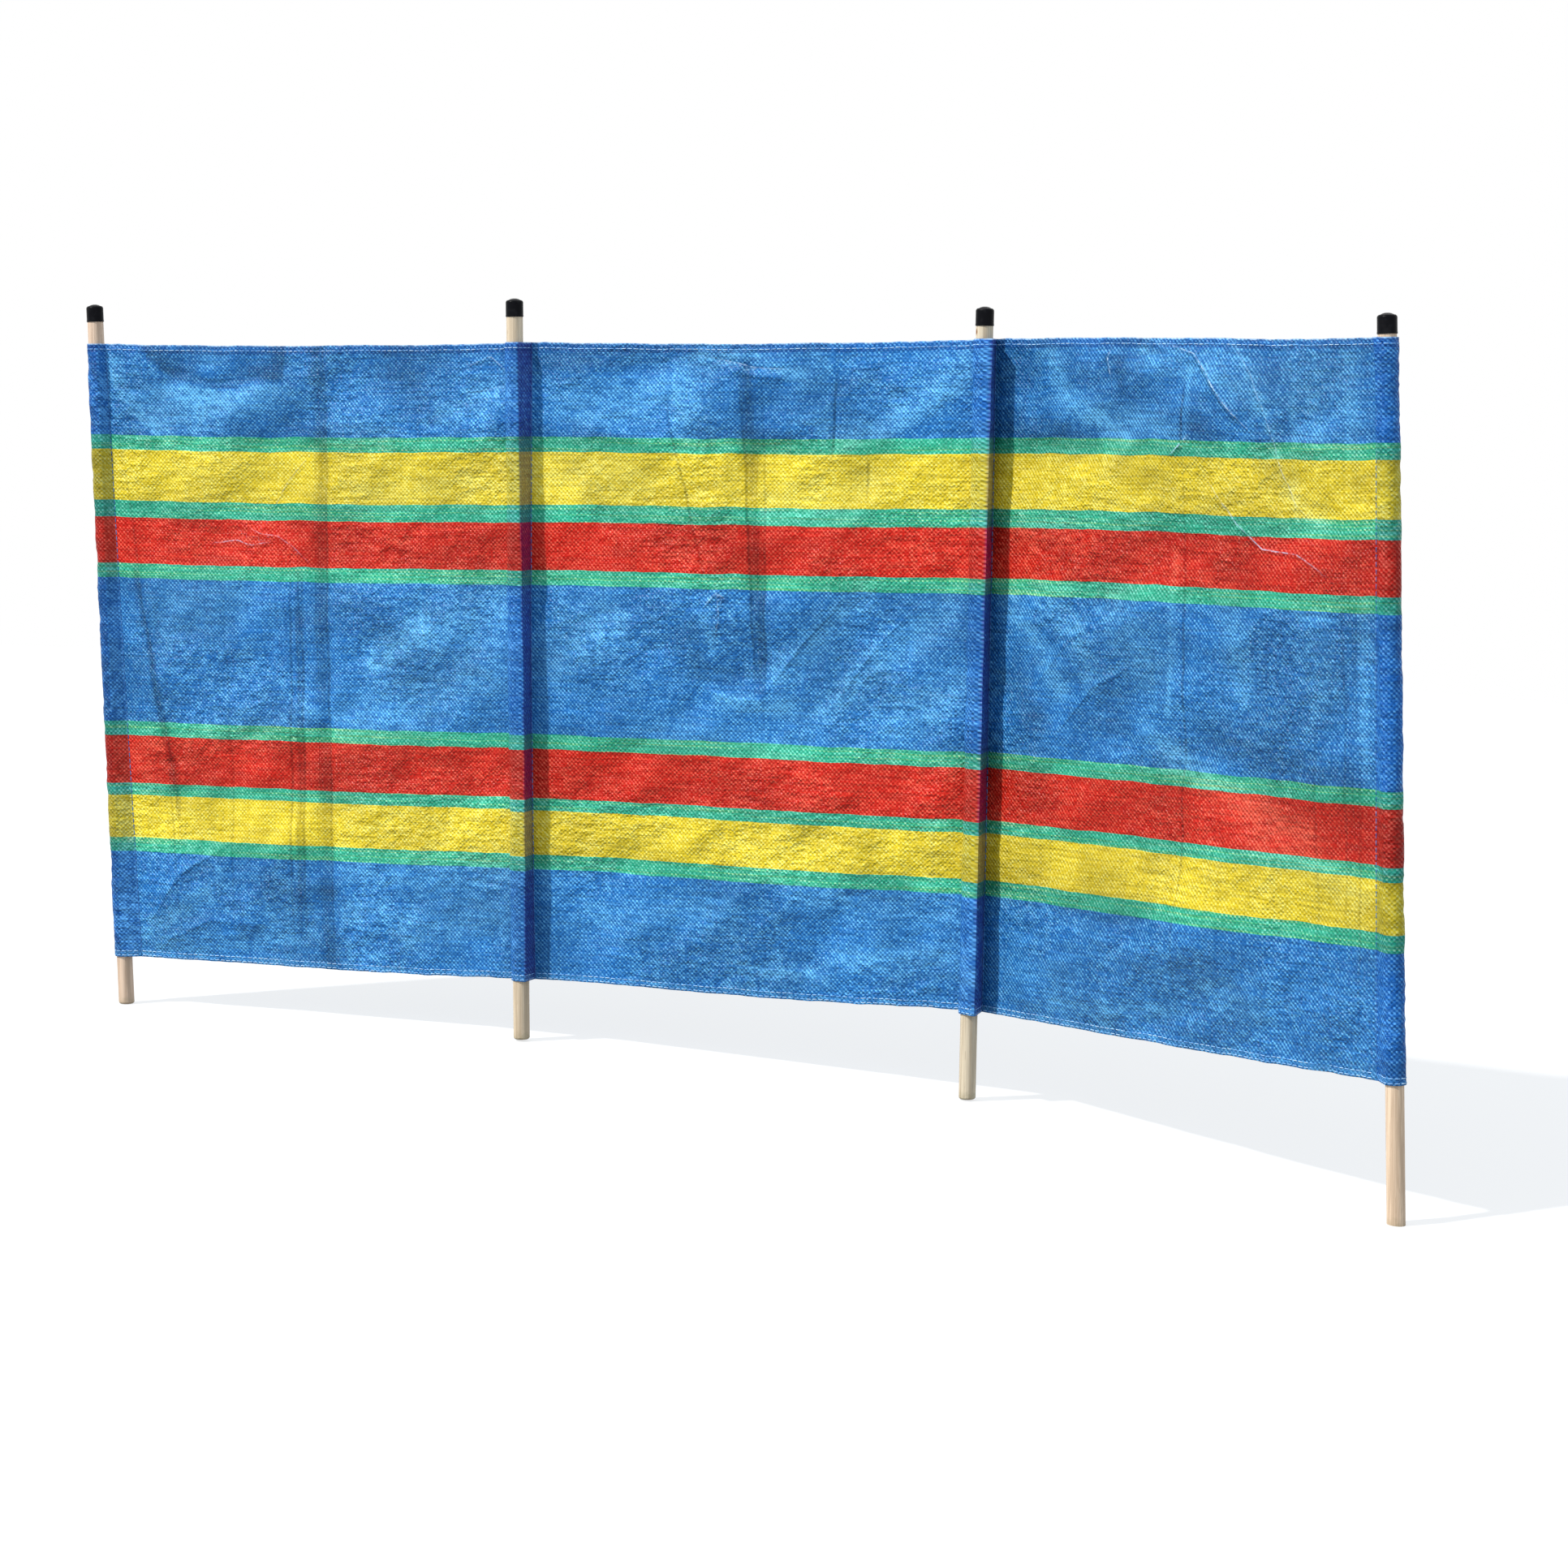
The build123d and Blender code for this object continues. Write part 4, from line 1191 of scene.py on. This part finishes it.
# the striped cloth of the bays and the pockets
def makeStripedTape():
    group, given, put = newGroup(
        "stripedTape",
        [("Plan", "NodeSocketVector", None), ("Tint", "NodeSocketColor", (1, 1, 1, 1)),
         ("Sheen", "NodeSocketFloat", 0), ("Flank", "NodeSocketFloat", 0),
         ("Crease far", "NodeSocketFloat", farAway), ("Crease rise", "NodeSocketFloat", 0),
         ("Crease pale", "NodeSocketFloat", 0)],
        [("Colour", "NodeSocketColor"), ("Height", "NodeSocketFloat"), ("Crumpled", "NodeSocketFloat")])
    finish, plan, paintedLight, far = clothFinish, given["Plan"], given["Sheen"], given["Crease far"]
    up = splitAxes(group, plan)[1]
    weave = useGroup(group, tapeWeave, Plan=plan)
    dents = useGroup(group, crumple, Plan=plan)
    patchy = rangeNode(group, dents["Facet"], 0.25, 0.75, *finish["patches"])
    lineBreakup = rangeNode(group, noiseNode(group, plan, 95.0, 2.0), 0.38, 0.58, 0.15, 1.0)
    deep, pale = stripeColour(group, up, 0), stripeColour(group, up, 1)
    colour = mixColour(group, paintedTapeLight(group, weave, dents, paintedLight, patchy), deep, pale)
    colour = tapeShades(group, plan, weave, paintedLight, colour, given["Tint"])
    colour = oddTapes(group, plan, deep, colour)
    colour = creaseMarks(group, far, given["Crease pale"], lineBreakup, colour)
    # painted shade on the flank of a pocket, turned away from the sun
    flank = times(group, given["Flank"], finish["flankShadeShare"])
    colour = mixColour(group, flank, colour, finish["flankShadeColour"])
    colour = edgeMarks(group, up, lineBreakup, patchy, colour)
    height = blend(group, weave["Height"], dents["Height"], (finish["weaveRise"], finish["crumpleRise"]))
    reach, share = finish["foldRise"]
    fold = rangeNode(group, mathNode(group, "ABSOLUTE", far), reach, 0.0, 0.0, share)
    group.links.new(colour, put["Colour"])
    group.links.new(plus(group, height, times(group, given["Crease rise"], fold)), put["Height"])
    group.links.new(dents["Place"], put["Crumpled"])
    return group


stripedTape = makeStripedTape()


# each tint, which paints shade on the right bay and the pockets, with the specular level
# and the roughness where the cloth is smooth and where it is crumpled
clothCoats = {
    "left_bay_cloth": ((1, 1, 1, 1), 0.16, 0.40, 0.32),
    "middle_bay_cloth": ((1, 1, 1, 1), 0.16, 0.40, 0.32),
    "right_bay_cloth": ((0.84, 0.84, 0.84, 1), 0.16, 0.40, 0.32),      # painted shade, as it faces the sun more
    "pocket": ((0.67, 0.70, 0.85, 1), 0.12, 0.46, 0.40),               # painted shade, as less light comes through the doubled pockets
}


def clothMaterial(name):
    tint, level, smooth, rough = clothCoats[name]
    material, tree, shader = newMaterial(name + "_tape")
    plan = addNode(tree, "ShaderNodeUVMap", uv_map="clothPlan").outputs["UV"]
    far, rise, pale, paintedLight, flank = (
        addNode(tree, "ShaderNodeAttribute", attribute_name=label).outputs["Fac"]
        for label in ("creaseFar", "creaseRise", "creasePale", "paintedLight", "flank"))
    tape = useGroup(tree, stripedTape, Plan=plan, Tint=tint, Sheen=paintedLight, Flank=flank,
                    Crease_far=far, Crease_rise=rise, Crease_pale=pale)
    shader.inputs["Specular IOR Level"].default_value = level
    tree.links.new(tape["Colour"], shader.inputs["Base Color"])
    tree.links.new(rangeNode(tree, tape["Crumpled"], 0, 1, smooth, rough), shader.inputs["Roughness"])
    addBump(tree, shader, tape["Height"], 1.0)
    return material


for sheet in clothPieces:
    giveMaterial([sheet], clothMaterial(sheet.name))
giveMaterial(pocketPieces, clothMaterial("pocket"))


# twisted thread, a little soiled
threadFinish = {
    "pale": ((0.20, 0.46, 0.86, 1), (0.58, 0.80, 0.98, 1)),     # where it is soiled and where it is clean
    "blue": ((0.03, 0.13, 0.40, 1), (0.10, 0.28, 0.62, 1)),
    "twistScale": 900.0,
    "soilScale": 40.0,
    "twistRise": 0.0002,
    "roughness": 0.7,
    "specular": 0.2,
}


def makeThreadTwist():
    group, given, put = newGroup("threadTwist", [("Place", "NodeSocketVector", None)],
                                 [("Twist", "NodeSocketFloat"), ("Clean", "NodeSocketFloat")])
    soil = noiseNode(group, given["Place"], threadFinish["soilScale"], 2.0)
    group.links.new(noiseNode(group, given["Place"], threadFinish["twistScale"], 1.0), put["Twist"])
    group.links.new(rangeNode(group, soil, 0.35, 0.65), put["Clean"])
    return group


threadTwist = makeThreadTwist()


def threadMaterial(colour):
    material, tree, shader = newMaterial(colour + "_thread")
    soiled, clean = threadFinish[colour]
    twist = useGroup(tree, threadTwist, Place=addNode(tree, "ShaderNodeTexCoord").outputs["Object"])
    tree.links.new(mixColour(tree, twist["Clean"], soiled, clean), shader.inputs["Base Color"])
    shader.inputs["Roughness"].default_value = threadFinish["roughness"]
    shader.inputs["Specular IOR Level"].default_value = threadFinish["specular"]
    addBump(tree, shader, twist["Twist"], threadFinish["twistRise"])
    return material


giveMaterial(bayThreads + pocketThreads, threadMaterial("pale"))
giveMaterial([seam for seams in seamThreads for seam in seams], threadMaterial("blue"))


# turned softwood: fine grain along the pole, a few darker streaks, and earth on the foot
woodSettings = {
    "pale": (0.770, 0.625, 0.465, 1),
    "dark": (0.510, 0.392, 0.276, 1),
    "streak": (0.330, 0.230, 0.140, 1),
    "earth": (0.200, 0.190, 0.090, 1),
    "knot": (0.260, 0.110, 0.035, 1),
    "grainShares": (0.45, 0.55),    # of the fine grain and the broad one
    "streakShares": (0.55, 0.35),   # of the long streaks and the short flecks
    "foot": 0.035,          # how far up the earth reaches
    "ragged": 0.03,         # how uneven its edge is
    "earthShare": 0.55,
    "rise": 0.0006,
    "tints": [(1.06, 0.97, 0.97, 1), (1.04, 1.04, 1.00, 1), (1.00, 1.04, 1.02, 1), (1.16, 1.08, 1.04, 1)],
    # pole, metres below its top, and which way along the row, from -1 to 1
    "knots": [(0, 0.30, 0.9), (1, 0.95, -0.4), (2, 0.0345, -0.75), (3, 0.60, 0.5)],
    "knotReach": 0.014,     # from the pole's axis
    "knotSize": (0.0042, 0.0012),   # where a knot starts and where it is whole
    "knotSquash": 0.6,      # a knot is longer than wide
}


def makeSoftwood():
    group, given, put = newGroup(
        "softwood",
        [("Place", "NodeSocketVector", None), ("Tint", "NodeSocketColor", (1, 1, 1, 1))],
        [("Colour", "NodeSocketColor"), ("Height", "NodeSocketFloat"), ("Grain", "NodeSocketFloat"),
         ("Ragged", "NodeSocketFloat")])
    setting, place = woodSettings, given["Place"]
    grain = noiseNode(group, place, 1.0, 3.0, 0.4, stretch=(420.0, 420.0, 9.0))
    broad = noiseNode(group, place, 1.0, 2.0, 0.5, stretch=(90.0, 90.0, 3.0))
    fleck = noiseNode(group, place, 1.0, 1.0, stretch=(700.0, 700.0, 45.0))
    height = blend(group, grain, broad, setting["grainShares"])
    colour = mixColour(group, rangeNode(group, height, 0.36, 0.62), setting["dark"], setting["pale"])
    long, short = setting["streakShares"]
    colour = mixColour(group, rangeNode(group, broad, 0.64, 0.74, 0.0, long), colour, setting["streak"])
    colour = mixColour(group, rangeNode(group, fleck, 0.66, 0.74, 0.0, short), colour, setting["streak"])
    group.links.new(tinted(group, colour, given["Tint"]), put["Colour"])
    group.links.new(height, put["Height"])
    group.links.new(grain, put["Grain"])
    group.links.new(times(group, noiseNode(group, place, 120.0, 3.0), setting["ragged"]), put["Ragged"])
    return group


softwood = makeSoftwood()


# how far a point lies from a knot, with the pole's length squashed
def knotDistance(tree, pole, place, shift, below, side):
    low, high = poleAxes[pole]
    squash = woodSettings["knotSquash"]
    out = np.array((side, -(1 - side ** 2) ** 0.5, 0)) * woodSettings["knotReach"]
    spot = high + (low - high) * below / (high[2] - low[2]) + out + shift
    away = addNode(tree, "ShaderNodeVectorMath", operation="DISTANCE")
    tree.links.new(mapped(tree, place, Scale=(1, 1, squash)), away.inputs[0])
    away.inputs[1].default_value = (spot[0], spot[1], spot[2] * squash)
    return away.outputs["Value"]


def woodMaterial(pole):
    setting = woodSettings
    material, tree, shader = newMaterial(poleNames[pole] + "_softwood")
    whole = addNode(tree, "ShaderNodeTexCoord").outputs["Object"]
    shift = (0.0, float(pole), float(pole) * 3)     # so that no two poles have the same grain
    place = mapped(tree, whole, Location=shift)
    wood = useGroup(tree, softwood, Place=place, Tint=setting["tints"][pole])
    colour = wood["Colour"]
    for owner, below, side in setting["knots"]:
        if owner == pole:
            away = knotDistance(tree, pole, place, shift, below, side)
            knot = rangeNode(tree, away, *setting["knotSize"])
            colour = mixColour(tree, knot, colour, setting["knot"])
    ground = float(poleAxes[pole][0][2])
    height = plus(tree, splitAxes(tree, whole)[2], wood["Ragged"])
    earthy = rangeNode(tree, height, ground + setting["foot"], ground, 0.0, setting["earthShare"])
    tree.links.new(mixColour(tree, earthy, colour, setting["earth"]), shader.inputs["Base Color"])
    tree.links.new(rangeNode(tree, wood["Grain"], 0.3, 0.7, 0.62, 0.50), shader.inputs["Roughness"])
    shader.inputs["Specular IOR Level"].default_value = 0.25
    addBump(tree, shader, wood["Height"], setting["rise"])
    return material


for pole, name in enumerate(poleNames):
    wood = woodMaterial(pole)
    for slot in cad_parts[name + "_pole"].material_slots:
        slot.material = wood

# soft black moulding with a fine grain, and a little dust on it
capFinish = {
    "black": (0.0035, 0.0036, 0.0050, 1),
    "dusty": (0.0080, 0.0080, 0.0095, 1),
    "roughness": (0.26, 0.36),      # where it is clean and where it is dusty
    "specular": 0.06,
    "grainScale": 1400.0,
    "grainRise": 0.00012,
    "dustScale": 70.0,
}


def capMaterial():
    finish = capFinish
    material, tree, shader = newMaterial("black_moulding")
    place = addNode(tree, "ShaderNodeTexCoord").outputs["Object"]
    dust = noiseNode(tree, place, finish["dustScale"], 3.0)
    colour = mixColour(tree, rangeNode(tree, dust, 0.48, 0.70), finish["black"], finish["dusty"])
    tree.links.new(colour, shader.inputs["Base Color"])
    tree.links.new(rangeNode(tree, dust, 0.35, 0.70, *finish["roughness"]), shader.inputs["Roughness"])
    shader.inputs["Specular IOR Level"].default_value = finish["specular"]
    addBump(tree, shader, noiseNode(tree, place, finish["grainScale"], 2.0), finish["grainRise"])
    return material


giveMaterial(capPieces, capMaterial())
print("materials made")


# the ground follows the four feet, and is white to the camera
groundSettings = {"size": 16.0, "columns": 64, "brightness": 0.28, "glow": 0.70}


def makeGround():
    feet = [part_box(name + "_pole")[0].z for name in poleNames]
    places = [float(low[0]) for low, high in poleAxes]
    deselectAll()
    bpy.ops.mesh.primitive_grid_add(x_subdivisions=groundSettings["columns"], y_subdivisions=2,
                                    size=groundSettings["size"],
                                    location=(sum(places) / len(places), 0, 0))
    ground = bpy.context.object
    ground.name = "ground"
    bpy.ops.object.transform_apply(location=True)
    for vertex in ground.data.vertices:
        vertex.co.z = float(np.interp(vertex.co.x, places, feet))
    bpy.ops.object.shade_smooth()
    return ground


# 1 where a surface is looked at, straight or through a reflection, and 0 where it only lights others
def lookedAt(tree):
    rays = addNode(tree, "ShaderNodeLightPath").outputs
    seen = mathNode(tree, "MAXIMUM", rays["Is Camera Ray"], rays["Is Glossy Ray"])
    return mathNode(tree, "MAXIMUM", seen, rays["Is Transmission Ray"])


def groundMaterial():
    material, tree, shader = newMaterial("pale_ground")
    tree.nodes.remove(shader)
    matt = addNode(tree, "ShaderNodeBsdfDiffuse")
    matt.inputs["Color"].default_value = (groundSettings["brightness"],) * 3 + (1,)
    glow = addNode(tree, "ShaderNodeEmission")
    tree.links.new(times(tree, lookedAt(tree), groundSettings["glow"]), glow.inputs["Strength"])
    both = addNode(tree, "ShaderNodeAddShader")
    tree.links.new(matt.outputs[0], both.inputs[0])
    tree.links.new(glow.outputs[0], both.inputs[1])
    tree.links.new(both.outputs[0], tree.nodes["Material Output"].inputs["Surface"])
    return material


giveMaterial([makeGround()], groundMaterial())

# a white room: the world is white where it is seen, and lights the object more softly
lightSettings = {
    "sun": 3.35,
    "sunSize": 2.5,         # degrees across
    "sunTurn": 43,          # degrees to the left of straight in front of the row
    "sunHeight": 47,
    "sunAway": 6.0,         # metres; only its direction lights the scene
    "sunColour": (1.0, 0.98, 0.95),
    "sky": 0.80,
    "skyColour": (0.86, 0.98, 1.10, 1),
}


def makeWorld():
    world = bpy.data.worlds.new("white_room")
    bpy.context.scene.world = world
    world.use_nodes = True
    tree = world.node_tree
    background = tree.nodes["Background"]
    seen, sky = lookedAt(tree), lightSettings["sky"]
    colour = mixColour(tree, seen, lightSettings["skyColour"], (1, 1, 1, 1))
    tree.links.new(plus(tree, times(tree, seen, 1 - sky), sky), background.inputs["Strength"])
    tree.links.new(colour, background.inputs["Color"])


def makeSun():
    turn, height = radians(lightSettings["sunTurn"]), radians(lightSettings["sunHeight"])
    toSun = Vector((-sin(turn) * cos(height), -cos(turn) * cos(height), sin(height)))
    deselectAll()
    bpy.ops.object.light_add(type="SUN", location=toSun * lightSettings["sunAway"])
    sun = bpy.context.object
    sun.name = "key_light"
    sun.data.energy = lightSettings["sun"]
    sun.data.color = lightSettings["sunColour"]
    sun.data.angle = radians(lightSettings["sunSize"])
    sun.rotation_euler = toSun.to_track_quat("Z", "Y").to_euler()


# the camera stands five metres in front of the row, a metre to the right of its right end
cameraSettings = {
    "place": (0.976, -5.180, 1.241),    # metres from the right end pole's foot
    "turn": 20.59,                      # degrees to the left of facing +Y
    "tilt": -6.37,
    "lens": 82.0,
    "sensor": 36.0,
}


def makeCamera():
    deselectAll()
    bpy.ops.object.camera_add(location=cameraSettings["place"])
    camera = bpy.context.object
    camera.name = "camera"
    camera.rotation_euler = (radians(90 + cameraSettings["tilt"]), 0, radians(cameraSettings["turn"]))
    camera.data.lens = cameraSettings["lens"]
    camera.data.sensor_width = cameraSettings["sensor"]
    bpy.context.scene.camera = camera


makeWorld()
makeSun()
makeCamera()
bpy.context.scene.view_settings.view_transform = "Standard"
print("stage set")
